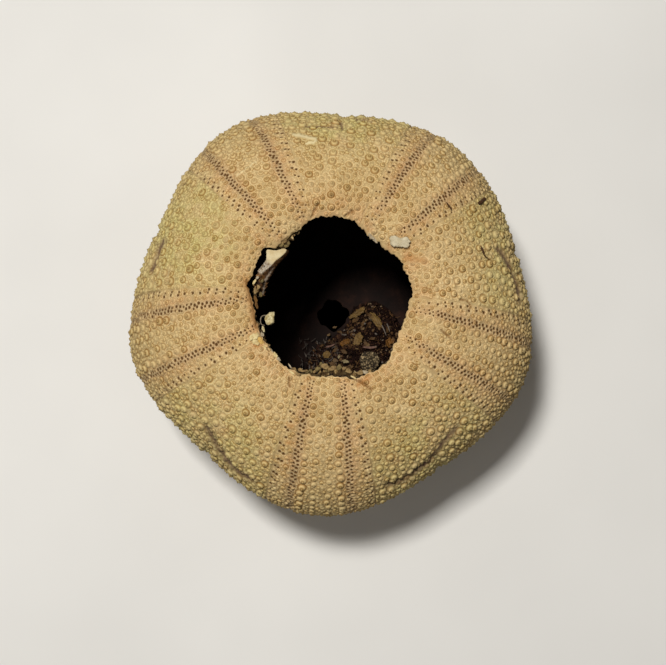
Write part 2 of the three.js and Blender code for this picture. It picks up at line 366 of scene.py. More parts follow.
def knobProfile(share, reach):
    # A boss (1 - (s / reach)^2)^0.62 with a bead and a ring groove on it, a moat round it and a low rim
    # round the moat; bead is a half circle, groove, moat and rim are bells exp(-x^2)
    form = knobShape
    boss = np.maximum(0, 1 - (share / reach) ** 2) ** form["bossRoundness"] * form["bossHeight"]
    bead = np.sqrt(np.maximum(0, 1 - (share / form["beadReach"]) ** 2)) * form["beadHeight"]
    ring = np.exp(-((share - form["ringPlace"]) / form["ringWidth"]) ** 2) * form["ringDepth"]
    moat = np.exp(-((share - reach - form["moatPlace"]) / form["moatWidth"]) ** 2) * form["moatDepth"]
    rim = np.exp(-((share - form["rimPlace"]) / form["rimWidth"]) ** 2) * form["rimHeight"]
    rim = rim * (form["rimless"] - reach) * form["rimGrowth"]
    return boss + bead - ring - moat + rim


def addKnobs(sector, rows, columns, radii, isPlain=False):
    # The nearest knob shapes and colours each grid point; plain ones are domes (1 - s^2)^0.6, without bead
    # or ring
    tones = sector.random.random(rows.size)
    reaches = np.interp(sector.arc[rows], knobShape["reachArcs"], knobShape["bossReach"])
    lowest, more = knobShape["heights"]

    def paint(nearRows, nearColumns, owner, share):
        place = (nearRows, nearColumns)
        nearest = np.full(sector.knob.shape, np.inf)
        np.minimum.at(nearest, place, share)
        isOwn = (share <= nearest[place] + 1e-9) & (share < knobShape["ground"])
        if isPlain:
            mark = plainKnob["middleMark"] + plainKnob["rimMark"] * share ** 4
            rise = plainKnob["height"] * np.maximum(0, 1 - share ** 2) ** plainKnob["roundness"]
        else:
            mark = share * knobShape["bossMark"] / reaches[owner]
            rise = knobProfile(share, reaches[owner])
        rise = np.minimum(rise * radii[owner] * (lowest + more * tones[owner]), knobShape["highest"])[isOwn]
        own = (nearRows[isOwn], nearColumns[isOwn])
        before = sector.height[own]
        sector.height[own] = np.where(np.abs(before) > np.abs(rise), before, rise)
        sector.tint[own] = tones[owner][isOwn]
        np.minimum.at(sector.knob, place, mark)
        np.minimum.at(sector.clear, place, (share - 1) * radii[owner])

    sector.stamp(rows, columns, radii, paint)


def addPores(sector, rows, columns, radii):
    # Each pore is a pit of depth 1 - share^2 that gets painted shade; a filled one never gets as dark as an
    # open one
    filled = 1 + poreBands["filling"] * sector.random.random(rows.size) ** 3

    def paint(nearRows, nearColumns, owner, share):
        place = (nearRows, nearColumns)
        pit = -np.maximum(0, 1 - share ** 2) * poreBands["depth"]
        np.minimum.at(sector.pit, place, pit)
        fill = filled[owner] - 1 + poreBands["fillSlope"] * share
        np.minimum.at(sector.pore, place, np.maximum(share, fill))

    sector.stamp(rows, columns, radii, paint, poreBands["stretch"])


poreBands = {
    # [share of the half width, place in the plate, side that its sway goes to, mm added to its pair width]
    "bands": [(0.552, 0.25, -1, 0), (0.552, 0.75, 1, 0), (0.906, 0.5, 0, 0.04)],
    "pairArcs": (0, 34),  # mm from the mouth, for the two pair widths
    "pairWidth": (0.62, 0.72),  # mm between the two pores of a pair, at the mouth and at the widest height
    "widthSpread": 0.1,
    "sway": 0.07,  # mm by which every other dense pair stands further out
    "slant": 0.13,  # mm by which the outer pore of a pair stands nearer the mouth
    "acrossSpread": 0.09,  # mm
    "alongSpread": 0.09,
    "firstArc": 1.0,
    "sideRoom": 0.3,
    "radius": 0.28,
    "radiusSpread": (0.8, 1.15),
    "mouthArcs": (1, 9),
    "mouthShare": (0.74, 1),  # radius of the pores next to the mouth, as a share of the full one
    "stretch": 1.12,
    "depth": 0.42,
    "filling": 0.5,
    "fillSlope": 0.4,
}

ambulacrumKnobs = {
    # share of the half width at the mouth and at the widest height, place in the plate, radius mm, and
    # share of it on odd plates
    "besideBand": (0.34, 0.38, 0.05, 0.96, 0.8),
    "inner": (0.12, 0.15, 0.55, 0.8, 0.85),
    "betweenBands": (0.73, 0.73, 0.0, 0.62, 0.8),
}

knobSpread = {
    "along": 0.17,  # mm
    "across": 0.02,  # share of the half width
    "radius": (0.88, 1.08),
    "oddShare": 0.95,  # radius share on odd plates, past the arcs in mm
    "oddArcs": (10, 22),
    "widest": 0.2,  # share of the half width
    "radiusByArc": ([0, 12, 24, 36, 70], [0.9, 0.92, 0.95, 0.78, 0.6]),
}

firstKnobArc = 0.7  # mm from the mouth edge
freePlates = 4  # without marks, at the vent


def snap(sector, arcs, columns):
    # Nearest grid point to a distance along the meridian and a column
    rows = np.clip(np.round(arcs / rowHeight), 0, sector.rows).astype(int)
    return rows, np.clip(np.round(columns), 0, sector.columns).astype(int)


def fillAmbulacrum(sector):
    # Two dense pore pairs and one outer pair on each plate, and three lines of knobs, on both sides of the
    # middle; the plates of one side stand half a plate lower
    form = poreBands
    middle = sector.columns / 2
    plates = np.arange(0, shellGrid["plates"] - freePlates)
    draw = sector.random.uniform
    for side in (-1, 1):
        shift = 0 if side < 0 else 0.5
        for bandShare, placeInPlate, sway, wider in form["bands"]:
            arcs = (plates + placeInPlate + shift) * plateHeight
            width = np.interp(arcs, sector.arc, sector.columnWidth)
            pair = np.interp(arcs, form["pairArcs"], form["pairWidth"])
            pair = pair + wider
            pair = pair * (1 + draw(-form["widthSpread"], form["widthSpread"], plates.size))
            centre = bandShare * middle + sway * form["sway"] / width
            centre = centre + sector.random.normal(0, form["acrossSpread"], plates.size) / width
            for half in (-0.5, 0.5):
                apart = draw(-form["alongSpread"], form["alongSpread"], plates.size)
                poreArcs = arcs - half * 2 * form["slant"] + apart
                rows, columns = snap(sector, poreArcs, middle + side * (centre + half * pair / width))
                keep = (poreArcs > form["firstArc"]) & (sector.toSide[rows, columns] > form["sideRoom"])
                radii = form["radius"] * draw(*form["radiusSpread"], plates.size)
                radii = radii * np.interp(poreArcs, form["mouthArcs"], form["mouthShare"])
                addPores(sector, rows[keep], columns[keep], radii[keep])
        for atMouth, atWidest, placeInPlate, radius, oddShare in ambulacrumKnobs.values():
            apart = draw(-knobSpread["along"], knobSpread["along"], plates.size)
            arcs = (plates + placeInPlate + shift) * plateHeight + apart
            share = atMouth + (atWidest - atMouth) * smooth(0, 30, arcs)
            share = share + sector.random.normal(0, knobSpread["across"], plates.size)
            rows, columns = snap(sector, arcs, middle + side * share * middle)
            oddShares = oddShare + (knobSpread["oddShare"] - oddShare) * smooth(*knobSpread["oddArcs"], arcs)
            radii = radius * np.where(plates % 2 == 0, 1, oddShares)
            radii = radii * draw(*knobSpread["radius"], plates.size)
            radii = np.minimum(radii, knobSpread["widest"] * sector.halfWidth[rows])
            radii = radii * np.interp(arcs, *knobSpread["radiusByArc"])
            keep = (arcs > firstKnobArc) & (arcs < fullArc - 6)
            addKnobs(sector, rows[keep], columns[keep], radii[keep])


interambulacrumKnobs = {
    "rowPitch": 2.35,  # mm along the meridian
    "columnPitch": 2.15,  # mm across
    "margin": 0.45,  # mm kept free along the middle and the side
    "firstRow": 0.35,  # share of the pitch
    "sideShift": 0.25,  # share of the pitch by which the rows of one side stand lower
    "acrossSpread": 0.16,  # mm
    "alongSpread": 0.17,
    "radiusSpread": (0.8, 1.1),
    "smallShare": 0.12,  # of the knobs, that are smaller than the others
    "smallRadius": 0.65,
    "ventRoom": 4,  # mm kept free at the vent
    "radiusByArc": ([0, 6, 14, 22, 30, 37, 60, 84], [0.84, 0.9, 0.93, 0.93, 0.84, 0.7, 0.56, 0.42]),
}


def fillInterambulacrum(sector):
    # Knobs stand in slanting rows: every other one across a row is half a row lower
    form = interambulacrumKnobs
    middle = sector.columns / 2
    pitch = form["rowPitch"]
    for side in (-1, 1):
        for line in range(int((fullArc - form["ventRoom"] - 1) / pitch)):
            arc = (line + form["firstRow"] + (form["sideShift"] if side > 0 else 0)) * pitch
            halfWidth = np.interp(arc, sector.arc, sector.halfWidth)
            room = halfWidth - 2 * form["margin"]
            count = max(1, int(round(room / form["columnPitch"])))
            places = np.arange(count)
            lateral = form["margin"] + (places + 0.5) * room / count
            arcs = arc + 0.5 * pitch * (places % 2)
            lateral = lateral + sector.random.normal(0, form["acrossSpread"], count)
            arcs = arcs + sector.random.normal(0, form["alongSpread"], count)
            rows, columns = snap(sector, arcs, middle + side * lateral / halfWidth * middle)
            radii = np.interp(arcs, *form["radiusByArc"])
            radii = radii * sector.random.uniform(*form["radiusSpread"], count)
            small = sector.random.random(count) < form["smallShare"]
            radii = np.where(small, radii * form["smallRadius"], radii)
            keep = (arcs > firstKnobArc) & (arcs < fullArc - form["ventRoom"])
            keep &= sector.toSide[rows, columns] > 0.7 * radii
            if keep.any():
                addKnobs(sector, rows[keep], columns[keep], radii[keep])


gapKnobs = {
    # [radius in mm, share of the free places that are taken], largest first
    "sizes": [
        (0.6, 0.8), (0.6, 0.7), (0.48, 0.8), (0.48, 0.7), (0.38, 0.85), (0.38, 0.8), (0.3, 0.8), (0.3, 0.8),
        (0.24, 0.8), (0.24, 0.8),
    ],
    "pitch": 2.1,  # radii
    "spread": 0.3,
    "radiusSpread": (0.82, 1.08),
    "clearRoom": 0.62,  # radii to the next knob's rim
    "sideRoom": 0.55,
    "poreRoom": 1.6,  # pore radii
    "firstArc": 0.45,  # mm
    "largestInPored": 0.5,
    "largestPlain": 0.45,
}


def fillGaps(sector):
    # Jittered offset grid of places for each size, kept where there is room between pores and other knobs
    form = gapKnobs
    middle = sector.columns / 2
    spread = form["spread"]
    for radius, share in form["sizes"]:
        if sector.isPored and radius > form["largestInPored"]:
            continue
        pitch = form["pitch"] * radius
        allArcs = []
        allColumns = []
        start = sector.random.random(2)
        for line in range(int((fullArc - 4) / pitch)):
            arc = (line + start[0]) * pitch
            halfWidth = np.interp(arc, sector.arc, sector.halfWidth)
            count = int(halfWidth * 2 / pitch)
            lateral = (np.arange(count) + start[1] + 0.5 * (line % 2)) * pitch - halfWidth
            allArcs.append(arc + sector.random.uniform(-spread, spread, count) * radius)
            lateral = lateral + sector.random.uniform(-spread, spread, count) * radius
            allColumns.append(middle + lateral / halfWidth * middle)
        arcs = np.concatenate(allArcs)
        rows, columns = snap(sector, arcs, np.concatenate(allColumns))
        radii = radius * sector.random.uniform(*form["radiusSpread"], rows.size)
        keep = sector.clear[rows, columns] > form["clearRoom"] * radii
        keep &= sector.pore[rows, columns] > form["poreRoom"]
        keep &= sector.toSide[rows, columns] > form["sideRoom"] * radii
        keep &= (arcs > form["firstArc"]) & (arcs < fullArc - 2)
        keep &= sector.random.random(rows.size) < share
        if keep.any():
            isPlain = radius < form["largestPlain"]
            addKnobs(sector, rows[keep], columns[keep], radii[keep], isPlain)


sectors = []
for number in range(5):
    sectors.append(Sector("ambulacrum_" + str(number + 1), 50.5 + 72 * number, True, 100 + number))
    sectors.append(Sector("interambulacrum_" + str(number + 1), 86.5 + 72 * number, False, 200 + number))

for sector in sectors:
    if sector.isPored:
        fillAmbulacrum(sector)
    else:
        fillInterambulacrum(sector)
    fillGaps(sector)
print("knobs and pores stamped")


def cameraFrame():
    # Camera model of the photo, for all that is placed by pixel: place, sight line and up, from the tilt
    tilt = math.radians(cameraPlace["tilt"])
    ahead = np.array([0, math.sin(tilt), -math.cos(tilt)])
    up = np.array([0, math.cos(tilt), math.sin(tilt)])
    place = np.array(cameraPlace["target"]) - ahead * cameraPlace["distance"]
    return place, ahead, up


def pixelsOf(points):
    # Pinhole projection of points in mm, with the target at its own pixel
    place, ahead, up = cameraFrame()
    offset = points - place
    depth = offset @ ahead
    scale = cameraPlace["focalPixels"] / depth
    across = cameraPlace["targetPixel"][0] + offset[..., 0] * scale
    down = cameraPlace["targetPixel"][1] - (offset @ up) * scale
    return np.stack([across, down], axis=-1)


seenArc = 36  # mm from the mouth edge to the last rows that the camera can see
seenRows = int(seenArc / rowHeight)
for sector in sectors:
    sector.pixels = pixelsOf(sector.base[:seenRows])


def shellUnder(pixel):
    # Base point of the outer face whose projection is nearest to the pixel
    best = None
    for sector in sectors:
        apart = np.hypot(*(sector.pixels - np.array(pixel)).transpose(2, 0, 1))
        at = np.unravel_index(np.argmin(apart), apart.shape)
        if best is None or apart[at] < best[0]:
            best = (apart[at], sector.base[at])
    return best[1]


def distanceToLine(points, corners):
    # Shortest distance from each point to a line through the corners
    nearest = np.full(points.shape[:-1], 1e9)
    for start, end in zip(corners[:-1], corners[1:]):
        along = end - start
        share = np.clip(((points - start) @ along) / max(along @ along, 1e-6), 0, 1)
        apart = np.linalg.norm(points - start - share[..., None] * along, axis=-1)
        nearest = np.minimum(nearest, apart)
    return nearest


# Marks on the outer face, each a line through pixels of the photo: [pixels, half width mm, depth mm, colour]
faceMarks = {
    "leftPurpleLine": ([(162, 241), (158, 249), (155, 257), (150.9, 268.6)], 0.75, 0.25, "purple"),
    "topPurpleLine": ([(306, 126), (320, 126), (338, 127)], 0.22, 0.1, "purple"),
    "topDarkSuture": (
        [(341, 122), (347, 119), (358, 119), (373, 121), (387, 123.5), (397, 127)], 0.28, 0.35, "purple",
    ),
    "topDarkSutureArm": ([(341, 121), (343, 129)], 0.28, 0.25, "purple"),
    "rightPurpleLine": (
        [(500, 249), (508, 261), (515, 274), (519, 286), (521, 299)], 0.75, 0.3, "purple",
    ),
    "lowerRightPurple": (
        [(390, 487), (405, 482), (418, 473), (428, 466.5), (436, 458)], 1.0, 0.6, "purple",
    ),
    "lowerRightPatch": ([(436, 456), (445, 443), (457, 430)], 0.8, 0.2, "purple"),
    "lowerLeftPurple": ([(206, 431), (214, 446), (222, 459), (233, 471), (248, 481)], 1.0, 0.5, "purple"),
    "rimLineLeft": ([(248.6, 283), (255.7, 304), (260, 324.5), (263.6, 334.5)], 0.2, 0.3, "brown"),
    "stainRimLeft": (
        [(248, 282), (251.5, 293), (253.3, 303), (255.5, 315), (256.8, 326)], 0.5, 0.0, "brown",
    ),
    "warmRimLeft": (
        [(247, 282), (250.5, 293), (252.3, 303), (254.5, 315), (255.8, 326)], 1.0, 0.0, "orange",
    ),
    "rimCreaseTopLeft": ([(319, 205), (315, 211), (312, 218)], 0.22, 0.3, "brown"),
    "rimCreaseTopRight": ([(353, 212), (346, 216)], 0.22, 0.3, "brown"),
    "rimCreaseBottom": ([(289.3, 377.6), (289.8, 387)], 0.22, 0.25, "brown"),
    "rimBreakBottom": ([(353, 376), (362, 382), (372, 389)], 0.25, 0.3, "brown"),
    "crackRight": ([(442, 329.5), (447, 334), (453, 339.5)], 0.2, 0.25, "brown"),
    "trailRight": (
        [(461, 299.5), (467, 300), (471, 303.5), (471.5, 308), (469, 311.5)], 0.2, 0.2, "brown",
    ),
    "stainRight": ([(407, 258), (415, 258), (424, 261)], 0.7, 0.0, "orange"),
    "stainLow": ([(357.7, 385), (364, 380), (370, 376.6)], 0.45, 0.0, "orange"),
    "stainSpotA": ([(308, 396), (308.4, 396.5)], 0.5, 0.0, "orange"),
    "stainSpotB": ([(289.7, 426), (290, 427)], 0.6, 0.0, "orange"),
    "stainSpotC": ([(287.8, 443.6), (288, 444)], 0.6, 0.0, "orange"),
    "stainLeftRim": ([(262, 341), (257, 345)], 0.7, 0.0, "orange"),
    "threadTopLeft": ([(236.5, 175), (246, 168.5), (255.5, 161.5)], 0.12, -0.12, "pale"),
}


# Share of the knobs' height that a mark takes away: a narrow groove, and a stain or a broad line
flattening = {"groove": 0.75, "stain": 0.25}


def markFaces():
    # Each mark colours and lowers the face by exp(-(distance / half width)^2)
    for pixels, halfWidth, depth, colour in faceMarks.values():
        corners = np.array([shellUnder(pixel) for pixel in pixels])
        middle = corners.mean(axis=0)
        reach = np.linalg.norm(corners - middle, axis=1).max() + 5
        isGroove = depth > 0 and halfWidth < 0.9
        flattened = flattening["groove" if isGroove else "stain"]
        for sector in sectors:
            if np.linalg.norm(sector.base - middle, axis=-1).min() > reach:
                continue
            apart = distanceToLine(sector.base, corners)
            strength = np.exp(-(apart / halfWidth) ** 2)
            field = sector.stain.setdefault(colour, np.zeros(sector.base.shape[:2]))
            field[:] = np.maximum(field, strength)
            sector.height = sector.height * (1 - flattened * strength) - depth * strength


markFaces()

# The hairpin scar is a raised pale ridge, thick in its upper arm
scarRidge = {
    "upperArm": [(294.5, 134.5), (301, 136), (308, 137.2), (315, 139)],
    "lowerArm": [(315, 139), (316.3, 140.5), (313, 142.5), (306.5, 142.8)],
    "height": 0.22,
    "halfWidths": (0.4, 0.26),
}


def raiseScar():
    # The ridge is exp(-(distance / half width)^4), which levels the knobs under it
    arms = (scarRidge["upperArm"], scarRidge["lowerArm"])
    for arm, halfWidth in zip(arms, scarRidge["halfWidths"]):
        corners = np.array([shellUnder(pixel) for pixel in arm])
        for sector in sectors:
            apart = distanceToLine(sector.base, corners)
            ridge = np.exp(-(apart / halfWidth) ** 4)
            sector.height = sector.height * (1 - ridge) + scarRidge["height"] * ridge
            field = sector.stain.setdefault("pale", np.zeros(sector.base.shape[:2]))
            field[:] = np.maximum(field, ridge)
            sector.knob = np.where(ridge > 0.4, blank["knob"], sector.knob)


raiseScar()
print("marks placed")


def ladder(first, second):
    # Zips two rows of vertex numbers into triangles, stepping along the row that lags behind
    shares = np.concatenate([np.linspace(0, 1, len(first))[1:], np.linspace(0, 1, len(second))[1:] + 1e-9])
    order = np.argsort(shares, kind="stable")
    onFirst = order < len(first) - 1
    atFirst = np.cumsum(onFirst)
    atSecond = np.cumsum(~onFirst)
    previous = np.where(onFirst, first[atFirst - 1], second[atSecond - 1])
    return np.stack([previous, first[atFirst], second[atSecond]], axis=1)


def gridQuads(numbers):
    # Quads between the neighbours of a grid of vertex numbers
    corners = [numbers[:-1, :-1], numbers[1:, :-1], numbers[1:, 1:], numbers[:-1, 1:]]
    return np.stack([corner.ravel() for corner in corners], axis=1)


def closedFaces(numbers, first, last):
    # Quads round the rows of vertex numbers, and a fan of triangles to the first and to the last vertex
    around = np.concatenate([numbers, numbers[:, :1]], axis=1)
    fill = np.ones(numbers.shape[1], dtype=int)
    firstFan = np.stack([fill * first, around[0, :-1], around[0, 1:]], axis=1)
    lastFan = np.stack([around[-1, 1:], around[-1, :-1], fill * last], axis=1)
    return [gridQuads(around), firstFan, lastFan]


def meshFrom(name, points, faceGroups, material, uvGroups=None, fields=None, sharpLines=None, flip=None):
    # Vertices in mm from the vent axis; each face group is an array of triangles or quads. Without a word
    # on flip, the faces are turned outward where the volume comes out negative. Edges that lie on one of
    # the sharp lines stay sharp.
    points = (np.asarray(points, dtype=float) + ventPlace) * metresPerMm
    if flip is None:
        volume = 0.0
        for faces in faceGroups:
            for step in range(1, faces.shape[1] - 1):
                a, b, c = points[faces[:, 0]], points[faces[:, step]], points[faces[:, step + 1]]
                volume += np.einsum("ij,ij->i", a, np.cross(b, c)).sum()
        flip = volume < 0
    if flip:
        faceGroups = [faces[:, ::-1] for faces in faceGroups]
        if uvGroups is not None:
            uvGroups = [uv[:, ::-1] for uv in uvGroups]
    loops = np.concatenate([faces.ravel() for faces in faceGroups]).astype(np.int32)
    sizes = np.concatenate([np.full(len(faces), faces.shape[1]) for faces in faceGroups])
    starts = np.concatenate([[0], np.cumsum(sizes)[:-1]]).astype(np.int32)
    mesh = bpy.data.meshes.new(name)
    mesh.vertices.add(len(points))
    mesh.vertices.foreach_set("co", points.ravel())
    mesh.loops.add(len(loops))
    mesh.loops.foreach_set("vertex_index", loops)
    mesh.polygons.add(len(sizes))
    mesh.polygons.foreach_set("loop_start", starts)
    mesh.update(calc_edges=True)
    if uvGroups is not None:
        layer = mesh.uv_layers.new(name="OFBake")
        layer.data.foreach_set("uv", np.concatenate([uv.reshape(-1, 2) for uv in uvGroups]).ravel())
    for fieldName, values in (fields or {}).items():
        attribute = mesh.attributes.new(fieldName, "FLOAT", "POINT")
        attribute.data.foreach_set("value", np.asarray(values, dtype=np.float32).ravel())
    mesh.shade_smooth()
    if sharpLines is not None:
        onLine = np.zeros(len(points), dtype=np.int64)
        for bit, line in enumerate(sharpLines):
            onLine[line] |= 1 << bit
        ends = np.empty(len(mesh.edges) * 2, dtype=np.int32)
        mesh.edges.foreach_get("vertices", ends)
        ends = ends.reshape(-1, 2)
        sharp = (onLine[ends[:, 0]] & onLine[ends[:, 1]]) != 0
        mesh.attributes.new("sharp_edge", "BOOLEAN", "EDGE").data.foreach_set("value", sharp)
    mesh.validate()
    mesh.materials.append(material)
    thing = bpy.data.objects.new(name, mesh)
    bpy.context.scene.collection.objects.link(thing)
    return thing


def linearColour(hexText):
    # sRGB hex to Blender's linear colour
    parts = [int(hexText[at : at + 2], 16) / 255 for at in (0, 2, 4)]
    linear = [part / 12.92 if part <= 0.04045 else ((part + 0.055) / 1.055) ** 2.4 for part in parts]
    return linear + [1.0]


class Nodes:
    # Short ways to add shader nodes and link them
    def __init__(self, name, roughness, specular=0.25):
        self.material = bpy.data.materials.new(name)
        self.material.use_nodes = True
        self.tree = self.material.node_tree
        self.shader = self.tree.nodes["Principled BSDF"]
        self.shader.inputs["Roughness"].default_value = roughness
        self.shader.inputs["Specular IOR Level"].default_value = specular
        self.place = self.tree.nodes.new("ShaderNodeTexCoord").outputs["Object"]

    def put(self, socket, value):
        # A socket is linked, and a plain value is set
        if isinstance(value, bpy.types.NodeSocket):
            self.tree.links.new(value, socket)
        else:
            socket.default_value = value

    def blotches(self, kind, size):
        # Noise or cells in the frame's own place, so that all pieces meet; size in mm
        node = self.tree.nodes.new(kind)
        node.inputs["Scale"].default_value = 1 / (size * metresPerMm)
        self.tree.links.new(self.place, node.inputs["Vector"])
        return node

    def noise(self, size, detail=3.0, roughness=0.55, offset=0.0):
        # Soft noise from 0 to 1; size is the width of one blotch
        node = self.blotches("ShaderNodeTexNoise", size)
        node.noise_dimensions = "4D"
        node.inputs["W"].default_value = offset
        node.inputs["Detail"].default_value = detail
        node.inputs["Roughness"].default_value = roughness
        return node.outputs["Fac"]

    def cells(self, size, offset=0.0):
        # Distance to the middle of the nearest cell; size is the width of a cell
        node = self.blotches("ShaderNodeTexVoronoi", size)
        node.voronoi_dimensions = "4D"
        node.inputs["W"].default_value = offset
        return node.outputs["Distance"]

    def field(self, name):
        # Values that are painted on the vertices
        node = self.tree.nodes.new("ShaderNodeAttribute")
        node.attribute_name = name
        return node.outputs["Fac"]

    def ramp(self, value, stops):
        # Straight steps between [position, colour]
        node = self.tree.nodes.new("ShaderNodeValToRGB")
        ramp = node.color_ramp
        while len(ramp.elements) < len(stops):
            ramp.elements.new(0.5)
        for element, (position, colour) in zip(ramp.elements, stops):
            element.position = position
        for element, (position, colour) in zip(ramp.elements, stops):
            element.color = linearColour(colour)
        self.tree.links.new(value, node.inputs["Fac"])
        return node.outputs["Color"]

    def spread(self, value, low, high, toLow=0.0, toHigh=1.0):
        # Straight line from (low, toLow) to (high, toHigh), held at both ends
        node = self.tree.nodes.new("ShaderNodeMapRange")
        node.inputs["From Min"].default_value = low
        node.inputs["From Max"].default_value = high
        node.inputs["To Min"].default_value = toLow
        node.inputs["To Max"].default_value = toHigh
        self.tree.links.new(value, node.inputs["Value"])
        return node.outputs["Result"]

    def maths(self, operation, first, second):
        node = self.tree.nodes.new("ShaderNodeMath")
        node.operation = operation
        self.put(node.inputs[0], first)
        self.put(node.inputs[1], second)
        return node.outputs["Value"]

    def times(self, first, second):
        return self.maths("MULTIPLY", first, second)

    def plus(self, first, second):
        return self.maths("ADD", first, second)

    def sine(self, value):
        return self.maths("SINE", value, 0.0)

    def mix(self, amount, first, second, blend="MIX"):
        # The first colour where the amount is 0 and the second where it is 1
        node = self.tree.nodes.new("ShaderNodeMix")
        node.data_type = "RGBA"
        node.blend_type = blend
        self.put(node.inputs["Factor"], amount)
        self.put(node.inputs[6], linearColour(first) if isinstance(first, str) else first)
        self.put(node.inputs[7], linearColour(second) if isinstance(second, str) else second)
        return node.outputs[2]

    def bump(self, height, strength, distance, under=None):
        # Normal tilted by the height's slope, over the normal under it; distance in mm
        node = self.tree.nodes.new("ShaderNodeBump")
        node.inputs["Strength"].default_value = strength
        node.inputs["Distance"].default_value = distance * metresPerMm
        self.tree.links.new(height, node.inputs["Height"])
        if under is not None:
            self.tree.links.new(under, node.inputs["Normal"])
        return node.outputs["Normal"]

    def finish(self, colour, normal):
        self.tree.links.new(colour, self.shader.inputs["Base Color"])
        self.tree.links.new(normal, self.shader.inputs["Normal"])
        return self.material


def shellMaterial():
    # Layers from the broad tints to the small marks, each mixed in by a painted field or a noise
    nodes = Nodes("chalkyShell", 0.82, 0.12)
    blotch = nodes.noise(7, 4, 0.6)
    patch = nodes.noise(2.6, 3, 0.6, 3.0)
    grain = nodes.noise(0.45, 3, 0.7, 7.0)
    colour = nodes.mix(nodes.spread(blotch, 0.35, 0.68), "E1CA9B", "CFB786")
    # olive down the flank, yellow-green between the pored sectors
    away = nodes.field("away")
    colour = nodes.mix(away, colour, nodes.mix(nodes.spread(patch, 0.35, 0.7), "CDBA8A", "B5A678"))
    greenAmount = nodes.times(nodes.field("green"), nodes.spread(nodes.noise(4.5, 3, 0.6, 11.0), 0.36, 0.6))
    colour = nodes.mix(greenAmount, colour, "CBC487")
    peachAmount = nodes.times(nodes.field("peach"), nodes.spread(nodes.noise(2.2, 3, 0.6, 5.0), 0.34, 0.6))
    colour = nodes.mix(peachAmount, colour, "D9AE82")
    colour = nodes.mix(nodes.times(nodes.field("band"), 0.5), colour, "A98868")
    # shade and dust painted in the low places, a highlight painted on knob tops down the flank, then the
    # knobs' rings
    away = nodes.field("away")
    mark = nodes.plus(nodes.field("knob"), nodes.times(away, 0.24))
    # dark brown between the knobs, growing down the flank: painted shade with patchy dust
    between = nodes.spread(mark, 0.98, 1.14)
    dustAndShade = nodes.plus(nodes.spread(patch, 0.3, 0.7, 0.0, 0.5), nodes.times(away, 0.6))
    colour = nodes.mix(nodes.times(between, dustAndShade), colour, "6F5738")
    # paler knob tops down the flank: a painted highlight
    highlightOnTops = nodes.times(nodes.spread(mark, 0.85, 0.6), away)
    colour = nodes.mix(nodes.times(highlightOnTops, 0.4), colour, "DCCB9C")
    # rings: painted shade round the bead and in the moat past the boss, with the bead left light as a painted
    # highlight
    rings = nodes.ramp(
        nodes.spread(nodes.field("knob"), 0, blank["knob"]),
        [
            (0.0, "FFF8E4"), (0.06, "EBDAB2"), (0.11, "9C7F50"), (0.17, "A78A5A"), (0.235, "EEE0C2"),
            (0.3, "FFFAEC"), (0.37, "C6A97E"), (0.43, "8C6F45"), (0.49, "C4A87C"), (0.55, "F4EAD6"),
            (0.61, "FFFFFF"), (0.66, "CCB792"), (0.74, "F0E8D8"),
        ],
    )
    colour = nodes.mix(nodes.spread(nodes.field("tint"), 0, 1, 0.45, 0.95), colour, rings, "MULTIPLY")
    onBoss = nodes.spread(nodes.field("knob"), 0.5, 0.3)
    onKnob = nodes.times(onBoss, nodes.spread(nodes.field("tint"), 0.7, 1.0))
    colour = nodes.mix(nodes.times(onKnob, 0.45), colour, "94784A")
    colour = nodes.mix(nodes.spread(grain, 0.35, 0.72, 0.0, 0.4), colour, "8A7048")
    purple = nodes.times(nodes.field("purple"), nodes.spread(patch, 0.3, 0.6, 0.45, 1.0))
    colour = nodes.mix(purple, colour, "5C4539")
    colour = nodes.mix(nodes.times(nodes.field("orange"), 0.5), colour, "A87038")
    brown = nodes.times(nodes.field("brown"), nodes.spread(grain, 0.3, 0.6, 0.5, 1.0))
    colour = nodes.mix(nodes.times(brown, 0.85), colour, "6C451C")
    colour = nodes.mix(nodes.times(nodes.field("pale"), 0.65), colour, "E0D1A4")
    outside = nodes.spread(nodes.field("pore"), 1.0, 1.2)
    lip = nodes.times(outside, nodes.spread(nodes.field("pore"), 1.6, 1.3))
    colour = nodes.mix(nodes.times(lip, 0.3), colour, "E8D3A6")
    # dark brown in each pore: painted shade of the open hole
    poreShadeAmount = nodes.spread(nodes.field("pore"), 1.05, 0.65, 0.0, 0.95)
    colour = nodes.mix(poreShadeAmount, colour, "523414")
    brokenTones = [(0.34, "2E1F10"), (0.45, "6A5130"), (0.55, "9A8052"), (0.66, "C6B083")]
    broken = nodes.ramp(nodes.noise(0.55, 4, 0.7, 31.0), brokenTones)
    # dark cracks between the lumps of the broken ledge: painted shade
    broken = nodes.mix(nodes.spread(nodes.cells(1.1, 4.0), 0.36, 0.56, 0.0, 0.9), broken, "332411")
    colour = nodes.mix(nodes.field("broken"), colour, broken)
    # near-black inner wall: partly the dried tissue's dark stain, partly painted shade inside the hollow
    innerTones = [(0.3, "100A07"), (0.5, "1A0F0B"), (0.7, "2C1A12")]
    innerStainAndShade = nodes.ramp(nodes.noise(3.5, 4, 0.6, 21.0), innerTones)
    colour = nodes.mix(nodes.field("inner"), colour, innerStainAndShade)
    normal = nodes.bump(grain, 0.5, 0.09)
    normal = nodes.bump(nodes.noise(0.16, 2, 0.6, 9.0), 0.35, 0.04, normal)
    return nodes.finish(colour, normal)


shellFinish = shellMaterial()


# The left sector turns green nearer the mouth
leftGreen = {
    "centre": 158,  # degrees round the axis
    "spread": 30,
    "nearer": 10,  # mm
}


